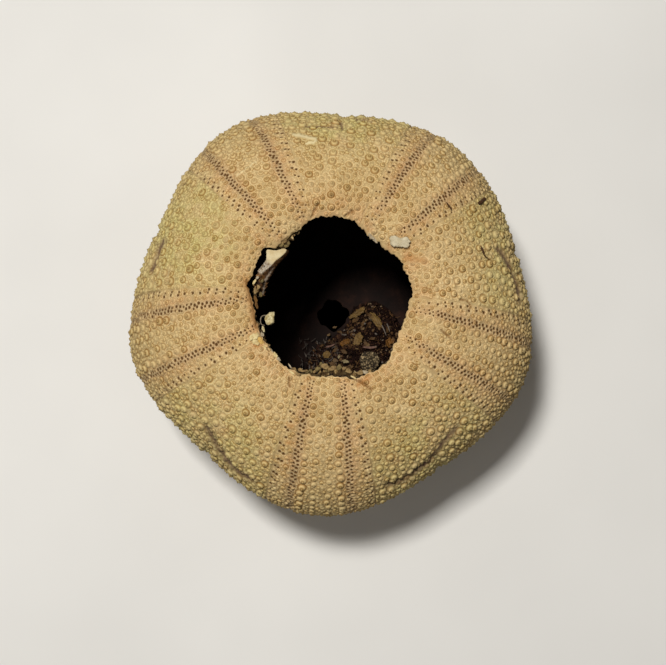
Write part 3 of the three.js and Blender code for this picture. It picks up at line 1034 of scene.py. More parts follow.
def paintRegions(sector):
    # Broad tints by place: away grows to the flank, green sits high between the pored sectors, peach and
    # a brown band lie on the pored ones; bells exp(-x^2) across, smooth steps along
    arc = sector.arc[:, None] + 0 * sector.turn
    across = np.abs(sector.across)[None, :] + 0 * sector.turn
    fields = {"away": smooth(8, 36, arc)}
    if sector.isPored:
        band = np.exp(-((across - 0.62) / 0.3) ** 2)
        fields["peach"] = band * (1 - smooth(14, 30, arc)) * 0.6
        fields["green"] = 0 * arc
    else:
        fromLeft = math.degrees(sector.centre) % 360 - leftGreen["centre"]
        greenArc = arc + leftGreen["nearer"] * math.exp(-(fromLeft / leftGreen["spread"]) ** 2)
        fields["green"] = smooth(7, 22, greenArc) * (1 - smooth(36, 50, greenArc)) * (1 - 0.5 * across)
        fields["peach"] = (1 - smooth(1.5, 7, arc)) * 0.5
    for colour in ("purple", "orange", "brown", "pale"):
        fields[colour] = sector.stain.get(colour, np.zeros(arc.shape))
    band = np.exp(-((across - 0.56) / 0.12) ** 2) * smooth(1, 8, arc) * (1 - smooth(30, 42, arc))
    fields["band"] = band * sector.isPored
    ring = (1 - smooth(2, 9, np.abs(arc - 33))) * smooth(0.2, 0.9, 1 - across)
    if not sector.isPored:
        fields["purple"] = np.maximum(fields["purple"], 0.18 * ring)
    fields["knob"] = sector.knob
    fields["tint"] = sector.tint
    fields["pore"] = sector.pore
    fields["inner"] = 0 * arc
    fields["broken"] = 0 * arc
    return fields


relief = {
    "valleyDepth": 0.5,  # mm, along the middle of a plain sector's flank
    "valleyHalfWidth": 1.0,
    "valleyFrom": (22, 29),  # mm from the mouth
    "valleyTo": (48, 60),
    "sutureDepth": 0.06,
    "sutureHalfWidth": 0.16,
    "unevenness": 0.07,
    "pitting": 0.035,
    "innerUnevenness": 0.10,
    "leanReach": 5,  # mm that the lip's lean goes down the inner wall
}

# Broken edge: place across the thickness, drop and reach into the opening of the ledge
ledge = {
    "leans": (0.3, 0.8),  # mm of lean at which the ledge begins and is whole
    "drop": ([0, 0.28, 0.8, 1], [0, 0.5, 0.62, 1]),
    "reach": ([0, 0.28, 0.42, 0.8, 1], [0, 0.08, 0.26, 1, 1]),
    "bulge": 0.1,
    "lumps": ((4.3, 0.3), (9.1, 0.14)),  # how many times finer than the unevenness, and size
}

# Left side and width of each part of the bake map; the lines have no width
bakeMap = {
    "outer": (0.01, 0.75),
    "edge": (0.78, 0.03),
    "inner": (0.83, 0.12),
    "low": 0.01,
    "tall": 0.98,
    "ventLines": (0.965, 0.97),
    "ventTop": 0.45,
    "sideLines": ((0.975, 0.982), (0.988, 0.995)),
}


def mapPlaces(part, across, along):
    # Left side plus width times the share across, and the low side plus the height times the share along
    left, width = bakeMap[part]
    places = [left + width * across.ravel(), bakeMap["low"] + bakeMap["tall"] * along.ravel()]
    return np.stack(places, axis=1)


def mapLine(left, count, top=0.99):
    # One upright line of the bake map
    return np.stack([np.full(count, left), np.linspace(bakeMap["low"], top, count)], axis=1)


def buildSector(sector):
    # Closed wedge: outer grid, broken edge, inner wall, vent edge and the two side walls
    fade = smooth(0.0, relief["sutureHalfWidth"], sector.toSide)
    suture = relief["sutureDepth"] * np.exp(-(sector.toSide / relief["sutureHalfWidth"]) ** 2)
    nearVent = smooth(0, 3, fullArc - sector.arc)[:, None]
    knobs = sector.height * smooth(0.9, 1.4, sector.pore)
    knobs = (knobs + sector.pit) * fade * nearVent
    if not sector.isPored:
        lateral = np.abs(sector.across)[None, :] * sector.halfWidth[:, None]
        window = smooth(*relief["valleyFrom"], sector.arc) * (1 - smooth(*relief["valleyTo"], sector.arc))
        bell = np.exp(-(lateral / relief["valleyHalfWidth"]) ** 2)
        knobs = knobs - relief["valleyDepth"] * bell * window[:, None]
    height = knobs - suture + undulation(sector.base, relief["unevenness"])
    height = height + pitting(sector.base, relief["pitting"]) - shellGrid["sunk"]
    outer = shellPoint(sector.polar, sector.turn, height)
    outer[..., 2] = np.maximum(outer[..., 2], 0)
    outerNumbers = np.arange(outer[..., 0].size).reshape(outer.shape[:2])
    points = [outer.reshape(-1, 3)]
    count = outerNumbers.size

    innerColumns = sector.columns // shellGrid["innerColumnShare"]
    innerArc = np.linspace(0, fullArc, shellGrid["innerRows"] + 1)[:, None]
    innerAcross = np.linspace(-1, 1, innerColumns + 1)[None, :]
    innerTurn = sector.turnAt(innerArc, innerAcross)
    innerPolar = polarOfArc(innerArc, innerTurn)
    wave = undulation(shellPoint(innerPolar, innerTurn, 0), relief["innerUnevenness"])
    inner = shellPoint(innerPolar, innerTurn, -shellForm["wallThickness"] + wave)
    innerShift = leanAt(innerTurn) * (1 - smooth(0, relief["leanReach"], innerArc))
    inner[..., 0] -= innerShift * np.cos(innerTurn)
    inner[..., 1] -= innerShift * np.sin(innerTurn)
    innerNumbers = count + np.arange(inner[..., 0].size).reshape(inner.shape[:2])
    points.append(inner.reshape(-1, 3))
    count += innerNumbers.size

    # rows across the broken thickness bulge a little towards the opening
    depths = np.linspace(0, 1, shellGrid["edgeRows"] + 2)[1:-1, None]
    edgeTurn = sector.turn[0][None, :] + 0 * depths
    edgePolar = sector.polar[0][None, :] + 0 * depths
    # where the lip leans in, the break drops to a lumpy ledge before it drops again
    lean = leanAt(edgeTurn)
    leaning = smooth(*ledge["leans"], lean)
    drop = depths + leaning * (np.interp(depths, *ledge["drop"]) - depths)
    restOfWall = shellForm["wallThickness"] - shellGrid["sunk"]
    edge = shellPoint(edgePolar, edgeTurn, -shellGrid["sunk"] - drop * restOfWall)
    bulge = (ledge["bulge"] + undulation(edge * 2.3, ledge["bulge"])) * np.sin(math.pi * depths)
    bulge = bulge + lean * np.interp(depths, *ledge["reach"])
    lumps = sum(undulation(edge * finer, size) for finer, size in ledge["lumps"])
    edge[..., 2] += leaning * lumps * np.sin(math.pi * depths)
    edge[..., 0] -= bulge * np.cos(edgeTurn)
    edge[..., 1] -= bulge * np.sin(edgeTurn)
    edgeNumbers = count + np.arange(edge[..., 0].size).reshape(edge.shape[:2])
    points.append(edge.reshape(-1, 3))
    count += edgeNumbers.size
    points = np.concatenate(points)

    uv = np.zeros((count, 2))
    rowShare = np.linspace(0, 1, sector.rows + 1)[:, None] + 0 * sector.turn
    columnShare = (sector.across[None, :] + 1) / 2 + 0 * sector.turn
    uv[outerNumbers.ravel()] = mapPlaces("outer", columnShare, rowShare)
    innerRowShare = innerArc / fullArc + 0 * innerTurn
    innerColumnShare = (innerAcross + 1) / 2 + 0 * innerTurn
    uv[innerNumbers.ravel()] = mapPlaces("inner", innerColumnShare, innerRowShare)
    edgeUv = np.zeros((count, 2))
    rims = [outerNumbers[0], *edgeNumbers, innerNumbers[0]]
    for step, line in enumerate(rims):
        edgeUv[line] = mapLine(bakeMap["edge"][0] + bakeMap["edge"][1] * step / (len(rims) - 1), len(line))

    groups = []
    uvGroups = []

    def addFaces(faces, uvOf):
        groups.append(faces)
        uvGroups.append(uvOf[faces])

    addFaces(gridQuads(outerNumbers), uv)
    addFaces(gridQuads(innerNumbers)[:, ::-1], uv)
    addFaces(gridQuads(np.stack([*edgeNumbers[::-1], outerNumbers[0]])), edgeUv)
    addFaces(ladder(edgeNumbers[-1], innerNumbers[0]), edgeUv)
    ventUv = np.zeros((count, 2))
    for line, left in zip((outerNumbers[-1], innerNumbers[-1]), bakeMap["ventLines"]):
        ventUv[line] = mapLine(left, len(line), bakeMap["ventTop"])
    addFaces(ladder(outerNumbers[-1], innerNumbers[-1])[:, ::-1], ventUv)
    for side, lefts in zip((0, -1), bakeMap["sideLines"]):
        outerLine = np.concatenate([edgeNumbers[::-1, side], outerNumbers[:, side]])
        innerLine = innerNumbers[:, side]
        sideUv = np.zeros((count, 2))
        sideUv[outerLine] = mapLine(lefts[0], len(outerLine))
        sideUv[innerLine] = mapLine(lefts[1], len(innerLine))
        faces = ladder(outerLine, innerLine)
        addFaces(faces if side == -1 else faces[:, ::-1], sideUv)

    fields = {}
    for fieldName, values in paintRegions(sector).items():
        whole = np.zeros(count)
        whole[outerNumbers.ravel()] = values.ravel()
        fields[fieldName] = whole
    for numbers in (innerNumbers.ravel(), edgeNumbers.ravel()):
        fields["knob"][numbers] = blank["knob"]
        fields["pore"][numbers] = blank["pore"]
    fields["inner"][innerNumbers.ravel()] = 1
    # broken edge: more of the dark inner colour the deeper it lies, painted shade; where the lip leans in, a
    # painted shadow under the first drop, a pale ledge, then dark again at the second drop
    plainShade = 0.45 + 0.55 * depths
    ledgeShade = 0.95 * (1 - smooth(0.38, 0.46, depths)) + smooth(0.85, 1.0, depths)
    fields["inner"][edgeNumbers.ravel()] = (plainShade + leaning * (ledgeShade - plainShade)).ravel()
    fields["broken"][edgeNumbers.ravel()] = (0.4 + 0.6 * leaning).ravel()
    lines = [
        outerNumbers[:, 0], outerNumbers[:, -1], innerNumbers[:, 0], innerNumbers[:, -1],
        innerNumbers[0], outerNumbers[-1], innerNumbers[-1],
        np.concatenate([[outerNumbers[0, 0]], edgeNumbers[:, 0], [innerNumbers[0, 0]]]),
        np.concatenate([[outerNumbers[0, -1]], edgeNumbers[:, -1], [innerNumbers[0, -1]]]),
    ]
    piece = meshFrom(sector.name, points, groups, shellFinish, uvGroups, fields, lines)
    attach(piece, "root")
    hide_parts("shell")


for sector in sectors:
    buildSector(sector)
print("ten sectors built")


# Everything below lies on the rim or on the heap inside


def pointAtHeight(pixel, height):
    # Where the sight line of a pixel meets a level plane, mm from the vent axis
    place, ahead, up = cameraFrame()
    right = np.array([1.0, 0.0, 0.0])
    across = (pixel[0] - cameraPlace["targetPixel"][0]) / cameraPlace["focalPixels"]
    down = (pixel[1] - cameraPlace["targetPixel"][1]) / cameraPlace["focalPixels"]
    line = ahead + across * right - down * up
    return place + line * (height - place[2]) / line[2]


heapForm = {
    "centre": (5.5, -7.5),
    "height": 5.2,
    "rimThickness": 0.5,
    "gap": 0.5,  # over the shell's inner floor
    "edge": [
        (9, 9.6), (45, 10.6), (72, 11.0), (98, 8.9), (108, 6.3), (133, 5.1),
        (163, 6.6), (183, 10.2), (201, 12.0), (229, 11.0), (273, 9.5), (324, 9.3),
    ],
    "rings": 70,
    "spokes": 200,
    "roughness": 0.55,  # mm
}


def floorHeight(x, y):
    # Inner floor of the shell: the aboral profile lowered by the wall along its normal
    polar = polarOfRadius(np.maximum(np.hypot(x, y), 0.3), False)
    rise = profileAt(polar)[1]
    return rise - shellForm["wallThickness"] / np.minimum(profileNormal(polar)[1], -0.2)


def heapReach(turn):
    # Radius of the heap's edge, straight between its points
    return roundAxis(heapForm["edge"], turn)


def heapTop(x, y):
    # Floor plus rim thickness plus height times (1 - outward^2)^0.8
    offsetX = np.asarray(x) - heapForm["centre"][0]
    offsetY = np.asarray(y) - heapForm["centre"][1]
    outward = np.minimum(1, np.hypot(offsetX, offsetY) / heapReach(np.arctan2(offsetY, offsetX)))
    mound = heapForm["height"] * (1 - outward ** 2) ** 0.8
    return floorHeight(x, y) + heapForm["gap"] + heapForm["rimThickness"] + mound


def heapUnder(pixel):
    # Sight line met with the heap: the plane's height is set to the heap's height there, a few times
    point = pointAtHeight(pixel, 8.0)
    for _ in range(12):
        point = pointAtHeight(pixel, float(heapTop(point[0], point[1])))
    return point


def slopeFrame(heightAt, x, y):
    # Unit axes along the ground and out of it, from the ground's slopes
    step = 0.4
    slopeX = (heightAt(x + step, y) - heightAt(x - step, y)) / (2 * step)
    slopeY = (heightAt(x, y + step) - heightAt(x, y - step)) / (2 * step)
    out = np.array([-float(slopeX), -float(slopeY), 1.0])
    out /= np.linalg.norm(out)
    along = np.cross([0.0, 1.0, 0.0], out)
    along /= np.linalg.norm(along)
    return np.stack([along, np.cross(out, along), out])


def turned(axes, degrees):
    # The first two axes swung round the third
    turn = math.radians(degrees)
    along = axes[0] * math.cos(turn) + axes[1] * math.sin(turn)
    return np.stack([along, np.cross(axes[2], along), axes[2]])


def roughWaves(points, size, width, seed):
    # Twice the mean of sixteen plane waves about as long as the width, times the size
    random = np.random.default_rng(seed)
    vectors = random.normal(size=(16, 3))
    vectors /= np.linalg.norm(vectors, axis=1)[:, None]
    vectors *= (2 * math.pi / (width * random.uniform(0.5, 1.6, size=16)))[:, None]
    return size * 2 * np.sin(points @ vectors.T + random.uniform(0, 6.28, size=16)).mean(axis=-1)


def plateShape(form, seed):
    # Closed plate on a polar grid: the outline shrinks to a pole above and below, and its
    # half thickness is (1 - outward^4)^0.5; curl lifts it with the square of the way across
    spokes, rings = form.get("spokes", 44), form.get("rings", 9)
    corners = np.array(form["corners"], dtype=float)
    cornerTurns = np.degrees(np.arctan2(corners[:, 1], corners[:, 0])) % 360
    order = np.argsort(cornerTurns)
    turns = np.linspace(0, 360, spokes, endpoint=False)
    cornerX = np.interp(turns, cornerTurns[order], corners[order, 0], period=360)
    cornerY = np.interp(turns, cornerTurns[order], corners[order, 1], period=360)
    spoke = np.radians(turns)
    jag = ringWaves([(7, 1, seed), (13, 1, 2 * seed), (19, 1, 3 * seed), (5, 1, 0)], spoke)
    cornerX = cornerX * (1 + form.get("ragged", 0) * jag)
    cornerY = cornerY * (1 + form.get("ragged", 0) * jag)
    outward = np.concatenate([np.linspace(0, 1, rings) ** 0.8, np.linspace(1, 0, rings)[1:] ** 0.8])
    isTop = np.concatenate([np.ones(rings), -np.ones(rings - 1)])
    half = 0.5 * form["thickness"] * np.sqrt(np.maximum(0, 1 - outward ** 4)) * isTop
    x = outward[1:-1, None] * cornerX
    y = outward[1:-1, None] * cornerY
    z = half[1:-1, None] + 0 * x
    points = np.stack([x, y, z], axis=-1)
    reach = np.hypot(corners[:, 0], corners[:, 1]).max()
    top = np.array([[0, 0, half[0]]])
    bottom = np.array([[0, 0, half[-1]]])
    whole = np.concatenate([top, points.reshape(-1, 3), bottom])
    curl = form.get("curl", 0) * ((whole[:, 1] / reach) ** 2 - 0.2)
    whole[:, 2] += curl + form.get("bend", 0) * (whole[:, 0] / reach) ** 2
    whole[:, 2] += form.get("ribs", 0) * np.sin(whole[:, 1] * 14 + 1.5 * np.sin(whole[:, 0] * 1.3))
    rough = form.get("rough", 0.05)
    whole[:, 2] += roughWaves(whole * [1, 1, 0.3], rough, form.get("grainSize", 0.8), seed)
    whole[:, 0] += roughWaves(whole, 0.6 * rough, form.get("grainSize", 0.8), seed + 1)
    whole[:, 1] += roughWaves(whole, 0.6 * rough, form.get("grainSize", 0.8), seed + 2)
    numbers = 1 + np.arange(points[..., 0].size).reshape(points.shape[:2])
    return whole, closedFaces(numbers, 0, len(whole) - 1)


def placedPlate(form, origin, axes, seed):
    # A plate moved to its origin along its own axes
    points, faces = plateShape(form, seed)
    return origin + points @ axes, faces


def joined(shapes):
    # One vertex list and one list of face groups from several closed shapes
    points = []
    triangles = []
    quads = []
    count = 0
    for shapePoints, groups in shapes:
        points.append(shapePoints)
        for faces in groups:
            (quads if faces.shape[1] == 4 else triangles).append(faces + count)
        count += len(shapePoints)
    groups = [np.concatenate(part) for part in (quads, triangles) if part]
    return np.concatenate(points), groups


def tubeShape(path, radii, sides):
    # Round profile carried along the path, closed by a point at each end
    path = np.asarray(path, dtype=float)
    radii = np.broadcast_to(radii, len(path)).copy()
    tangent = np.gradient(path, axis=0)
    tangent /= np.linalg.norm(tangent, axis=1)[:, None]
    across = np.cross(tangent, [0.31, 0.2, 0.93])
    across /= np.linalg.norm(across, axis=1)[:, None]
    over = np.cross(tangent, across)
    turns = np.linspace(0, 2 * math.pi, sides, endpoint=False)
    ring = np.cos(turns)[None, :, None] * across[:, None] + np.sin(turns)[None, :, None] * over[:, None]
    points = path[:, None] + ring * radii[:, None, None]
    numbers = np.arange(len(path) * sides).reshape(len(path), sides)
    ends = np.stack([path[0] - tangent[0] * radii[0], path[-1] + tangent[-1] * radii[-1]])
    whole = np.concatenate([points.reshape(-1, 3), ends])
    faces = closedFaces(numbers, numbers.size, numbers.size + 1)
    return whole, [group[:, ::-1] for group in faces]


def smoothPath(points, count):
    # Catmull-Rom curve through the points
    points = np.asarray(points, dtype=float)
    padded = np.concatenate([[2 * points[0] - points[1]], points, [2 * points[-1] - points[-2]]])
    at = np.linspace(0, len(points) - 1 - 1e-6, count)
    base = at.astype(int)
    share = (at - base)[:, None]
    p0, p1, p2, p3 = padded[base], padded[base + 1], padded[base + 2], padded[base + 3]
    return 0.5 * (
        2 * p1 + (p2 - p0) * share + (2 * p0 - 5 * p1 + 4 * p2 - p3) * share ** 2
        + (3 * p1 - p0 - 3 * p2 + p3) * share ** 3
    )


def addPiece(name, shape, material, replaced=(), fields=None):
    # One piece of its own mesh, which shows the replaced CAD nodes
    points, groups = shape
    piece = meshFrom(name, points, groups, material, fields=fields, flip=False)
    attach(piece, "root")
    if replaced:
        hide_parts(*replaced)


def nodeMiddle(node):
    # Middle of a CAD node's box, mm from the vent axis
    low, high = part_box(node)
    return (np.array(low) + np.array(high)) / 2 / metresPerMm - ventPlace


def plainMineral(name, pale, dark, size, roughness=0.8):
    # Two tones in blotches with a fine dark grain
    nodes = Nodes(name, roughness)
    colour = nodes.mix(nodes.spread(nodes.noise(size, 4, 0.65), 0.36, 0.66), pale, dark)
    grain = nodes.noise(size * 0.22, 3, 0.7, 3.0)
    colour = nodes.mix(nodes.spread(grain, 0.52, 0.8, 0.0, 0.45), colour, "5A4630")
    return nodes.finish(colour, nodes.bump(grain, 0.6, 0.08))


def dirtMaterial():
    # Tones from near black to grey-brown, by the painted tone and a small noise
    nodes = Nodes("darkDirt", 0.9, 0.05)
    tone = nodes.plus(nodes.field("tone"), nodes.spread(nodes.noise(0.5, 3, 0.7), 0.3, 0.7, -0.12, 0.12))
    colour = nodes.ramp(
        tone,
        [
            (0.0, "0D0706"), (0.28, "22140F"), (0.45, "35211A"), (0.6, "49331F"),
            (0.72, "5F4529"), (0.84, "5F4E3C"), (0.93, "6E5F4E"), (1.0, "857866"),
        ],
    )
    return nodes.finish(colour, nodes.bump(nodes.noise(0.22, 3, 0.7, 2.0), 0.6, 0.1))


dirtFinish = dirtMaterial()


def addDirt(name, shape, tone):
    # A piece of the heap, with its painted tone
    addPiece(name, shape, dirtFinish, ["dirt_heap"], {"tone": tone})


def buildDirtBed():
    # Mound of packed dirt: heap top with fine waves above, a sunk flat underside below
    rings, spokes = heapForm["rings"], heapForm["spokes"]
    outward = np.linspace(0, 1, rings)[1:, None]
    turns = np.linspace(0, 2 * math.pi, spokes, endpoint=False)[None, :]
    reach = heapReach(turns) * outward
    x = heapForm["centre"][0] + reach * np.cos(turns)
    y = heapForm["centre"][1] + reach * np.sin(turns)
    z = heapTop(x, y) - 0.45
    flat = np.stack([x, y, 0 * x], axis=-1)
    z = z + roughWaves(flat, heapForm["roughness"], 1.6, 5) + roughWaves(flat, 0.3, 0.6, 6)
    z = np.maximum(z, floorHeight(x, y) + 0.1)
    under = floorHeight(x, y) + 0.05
    top = np.stack([x, y, z], axis=-1)
    bottom = np.stack([x, y, under], axis=-1)[:-1:6][::-1]
    rows = np.concatenate([top, bottom])
    middle = np.array(heapForm["centre"])
    poles = [[*middle, heapTop(*middle) - 0.3], [*middle, floorHeight(*middle) + 0.05]]
    points = np.concatenate([rows.reshape(-1, 3), poles])
    numbers = np.arange(rows[..., 0].size).reshape(rows.shape[:2])
    faces = closedFaces(numbers, len(points) - 2, len(points) - 1)
    addDirt("dirt_bed", (points, faces), 0.16 + roughWaves(points, 0.10, 2.2, 7))


buildDirtBed()

grainForm = {
    "count": 2600,
    "sizes": (0.10, 0.42),  # half widths, mm
    "stretch": (0.45, 1.0),
}


def icosahedron():
    # Twelve corners at (0, 1, golden ratio) and its like, and the twenty faces between near ones
    golden = (1 + math.sqrt(5)) / 2
    points = []
    for first in (-1, 1):
        for second in (-golden, golden):
            points += [(0, first, second), (first, second, 0), (second, 0, first)]
    points = np.array(points, dtype=float)
    points /= np.linalg.norm(points, axis=1)[:, None]
    near = np.linalg.norm(points[:, None] - points[None], axis=-1) < 1.2
    faces = []
    for a in range(12):
        for b in range(a + 1, 12):
            for c in range(b + 1, 12):
                if near[a, b] and near[b, c] and near[a, c]:
                    outside = np.dot(np.cross(points[b] - points[a], points[c] - points[a]), points[a]) > 0
                    faces.append((a, b, c) if outside else (a, c, b))
    return points, np.array(faces)


def randomAxes(random, count):
    # Turned unit axes from random unit quaternions
    q = random.normal(size=(count, 4))
    q /= np.linalg.norm(q, axis=1)[:, None]
    w, x, y, z = q.T
    return np.stack(
        [
            1 - 2 * (y * y + z * z), 2 * (x * y - w * z), 2 * (x * z + w * y),
            2 * (x * y + w * z), 1 - 2 * (x * x + z * z), 2 * (y * z - w * x),
            2 * (x * z - w * y), 2 * (y * z + w * x), 1 - 2 * (x * x + y * y),
        ],
        axis=1,
    ).reshape(-1, 3, 3)


def heapPlaces(random, count, inset):
    # Even spread over the heap's plan: outward is the square root of a random share
    turns = random.uniform(0, 2 * math.pi, count)
    outward = np.sqrt(random.uniform(0, inset ** 2, count))
    x = heapForm["centre"][0] + heapReach(turns) * outward * np.cos(turns)
    y = heapForm["centre"][1] + heapReach(turns) * outward * np.sin(turns)
    return x, y


def buildGrains():
    # Stretched, dented icosahedra scattered over the heap, joined in one mesh
    random = np.random.default_rng(31)
    count = grainForm["count"]
    ball, faces = icosahedron()
    x, y = heapPlaces(random, count, 0.99)
    low, high = grainForm["sizes"]
    size = low + (high - low) * random.random(count) ** 3
    scale = size[:, None] * random.uniform(*grainForm["stretch"], size=(count, 3))
    dents = 1 + random.uniform(-0.22, 0.18, size=(count, 12, 1))
    shape = np.einsum("nij,nvj->nvi", randomAxes(random, count), ball[None] * dents * scale[:, None])
    ripple = roughWaves(np.stack([x, y, 0 * x], 1), 0.4, 1.6, 5)
    z = heapTop(x, y) - 0.25 + random.uniform(0, 0.3, count) * size / high + ripple
    points = shape + np.stack([x, y, z], axis=1)[:, None]
    allFaces = faces[None] + 12 * np.arange(count)[:, None, None]
    tone = np.repeat(np.clip(random.beta(1.6, 3.2, count) + 0.05, 0, 1), 12)
    addDirt("dirt_grains", (points.reshape(-1, 3), [allFaces.reshape(-1, 3)]), tone)


buildGrains()

scaleForm = {
    "count": 520,
    "lengths": (0.4, 1.5),  # mm
    "thickness": 0.06,
}


def buildScales():
    # Small curled plates: a 4 by 3 grid of corners, bent along its length, with a top and an underside
    random = np.random.default_rng(47)
    count = scaleForm["count"]
    u, v = np.meshgrid(np.linspace(-1, 1, 4), np.linspace(-1, 1, 3), indexing="ij")
    outline = np.sqrt(1 - 0.55 * v ** 2)
    low, high = scaleForm["lengths"]
    length = low + (high - low) * random.random(count) ** 2
    width = length * random.uniform(0.35, 0.9, count)
    curl = random.uniform(0.05, 0.35, count) * length
    base = np.zeros((count, 4, 3, 3))
    base[..., 0] = 0.5 * length[:, None, None] * u * outline
    base[..., 1] = 0.5 * width[:, None, None] * v * np.sqrt(1 - 0.45 * u ** 2)
    uneven = random.normal(0, 0.04, (count, 4, 3)) * length[:, None, None]
    base[..., 2] = curl[:, None, None] * (u ** 2 - 0.4) + uneven
    upper = base.copy()
    lower = base.copy()
    upper[..., 2] += 0.5 * scaleForm["thickness"]
    lower[..., 2] -= 0.5 * scaleForm["thickness"]
    corners = np.concatenate([upper.reshape(count, 12, 3), lower.reshape(count, 12, 3)], axis=1)
    grid = np.arange(12).reshape(4, 3)
    ring = np.concatenate([grid[:, 0], grid[-1, 1:], grid[-2::-1, -1], grid[0, -2:0:-1]])
    beside = np.roll(ring, -1)
    wall = np.stack([ring, ring + 12, beside + 12, beside], axis=1)
    faces = np.concatenate([gridQuads(grid), gridQuads(grid)[:, ::-1] + 12, wall])
    tilt = randomAxes(random, count)
    flatness = random.uniform(0.0, 0.5, count)[:, None, None]
    axes = tilt * flatness + np.eye(3) * (1 - flatness)
    spin = random.uniform(0, 2 * math.pi, count)
    turnAxes = np.zeros((count, 3, 3))
    turnAxes[:, 0, 0] = turnAxes[:, 1, 1] = np.cos(spin)
    turnAxes[:, 0, 1], turnAxes[:, 1, 0] = -np.sin(spin), np.sin(spin)
    turnAxes[:, 2, 2] = 1
    shape = np.einsum("nij,njk,nvk->nvi", axes, turnAxes, corners)
    x, y = heapPlaces(random, count, 0.97)
    z = heapTop(x, y) + random.uniform(-0.15, 0.35, count)
    points = shape + np.stack([x, y, z], axis=1)[:, None]
    allFaces = faces[None] + 24 * np.arange(count)[:, None, None]
    tone = np.repeat(np.clip(random.beta(2.2, 2.6, count) + 0.05, 0, 1), 24)
    addDirt("dirt_scales", (points.reshape(-1, 3), [allFaces.reshape(-1, 4)]), tone)


buildScales()

fibreForm = {
    "count": 170,
    "lengths": (0.9, 3.4),  # mm
    "radii": (0.03, 0.07),
}


def buildFibres():
    # Thin bent tubes lying on the heap, greyest at its left side
    random = np.random.default_rng(59)
    shapes = []
    tones = []
    for _ in range(fibreForm["count"]):
        x, y = heapPlaces(random, 1, 0.96)
        length = random.uniform(*fibreForm["lengths"])
        heading = random.uniform(0, 2 * math.pi)
        bend = random.normal(0, 0.35)
        along = np.linspace(-0.5, 0.5, 8)
        pathX = x + length * (along * math.cos(heading) - bend * along ** 2 * math.sin(heading))
        pathY = y + length * (along * math.sin(heading) + bend * along ** 2 * math.cos(heading))
        lift = 0.12 + random.uniform(0, 0.3) + random.normal(0, 0.25) * along
        path = np.stack([pathX, pathY, heapTop(pathX, pathY) + lift], axis=1)
        taper = np.interp(along, [-0.5, -0.3, 0.4, 0.5], [0.5, 1, 1, 0.3])
        radius = random.uniform(*fibreForm["radii"]) * taper
        shapes.append(tubeShape(path, radius, 5))
        greyer = 0.16 if x[0] < 2 else 0.0
        tones.append(np.full(len(shapes[-1][0]), min(1, random.beta(2, 2.5) * 0.9 + greyer)))
    addDirt("dirt_fibres", joined(shapes), np.concatenate(tones))


buildFibres()


greyFibreForm = {
    "count": 95,
    "across": (300, 338),  # pixels
    "down": (338, 374),
    "lengths": (0.35, 1.5),  # mm
    "heading": (110, 38),  # degrees, middle and spread
    "radii": (0.04, 0.12),
    "taper": [0.4, 0.9, 1, 1, 1, 0.8, 0.3],
}


def buildGreyFibres():
    # Steep grey strands at the lower left of the heap, by pixel
    form = greyFibreForm
    random = np.random.default_rng(61)
    shapes = []
    for _ in range(form["count"]):
        pixel = (random.uniform(*form["across"]), random.uniform(*form["down"]))
        start = heapUnder(pixel)
        length = random.uniform(*form["lengths"])
        heading = math.radians(random.normal(*form["heading"]))
        along = np.linspace(-0.5, 0.5, 7)
        pathX = start[0] + length * along * math.cos(heading)
        bend = 0.3 * length * along ** 2 * random.normal(0, 1)
        pathY = start[1] + length * along * math.sin(heading) + bend
        ground = np.maximum(heapTop(pathX, pathY), floorHeight(pathX, pathY) + 0.1)
        path = np.stack([pathX, pathY, ground + 0.15 + random.uniform(0, 0.35)], axis=1)
        shapes.append(tubeShape(path, random.uniform(*form["radii"]) * np.array(form["taper"]), 5))
    finish = plainMineral("greyFibre", "544A42", "2A2420", 0.8, 0.6)
    addPiece("dirt_grey_fibres", joined(shapes), finish, ["dirt_heap"])


buildGreyFibres()
print("dirt heap built")


def flakeMaterial(name, pale, dark, streak):
    # Fibrous brown-gold: streaks follow the flake's own along field
    nodes = Nodes(name, 0.62)
    blotch = nodes.noise(0.9, 3, 0.65)
    colour = nodes.mix(nodes.spread(blotch, 0.35, 0.65), pale, dark)
    lines = nodes.sine(nodes.times(nodes.field("along"), 31.0))
    lines = nodes.plus(lines, nodes.spread(nodes.noise(0.5, 2, 0.5, 3.0), 0.2, 0.8, -1.0, 1.0))
    colour = nodes.mix(nodes.spread(lines, 0.1, 1.2, 0.0, 0.55), colour, streak)
    colour = nodes.mix(nodes.spread(nodes.noise(0.25, 2, 0.6, 8.0), 0.5, 0.75, 0.0, 0.5), colour, "2A1C12")
    return nodes.finish(colour, nodes.bump(nodes.noise(0.3, 3, 0.6, 4.0), 0.5, 0.12))


goldenFinish = flakeMaterial("goldenFlake", "735829", "47331A", "8C7040")
orangeFinish = flakeMaterial("orangeFlake", "6F4716", "43290D", "8B6226")

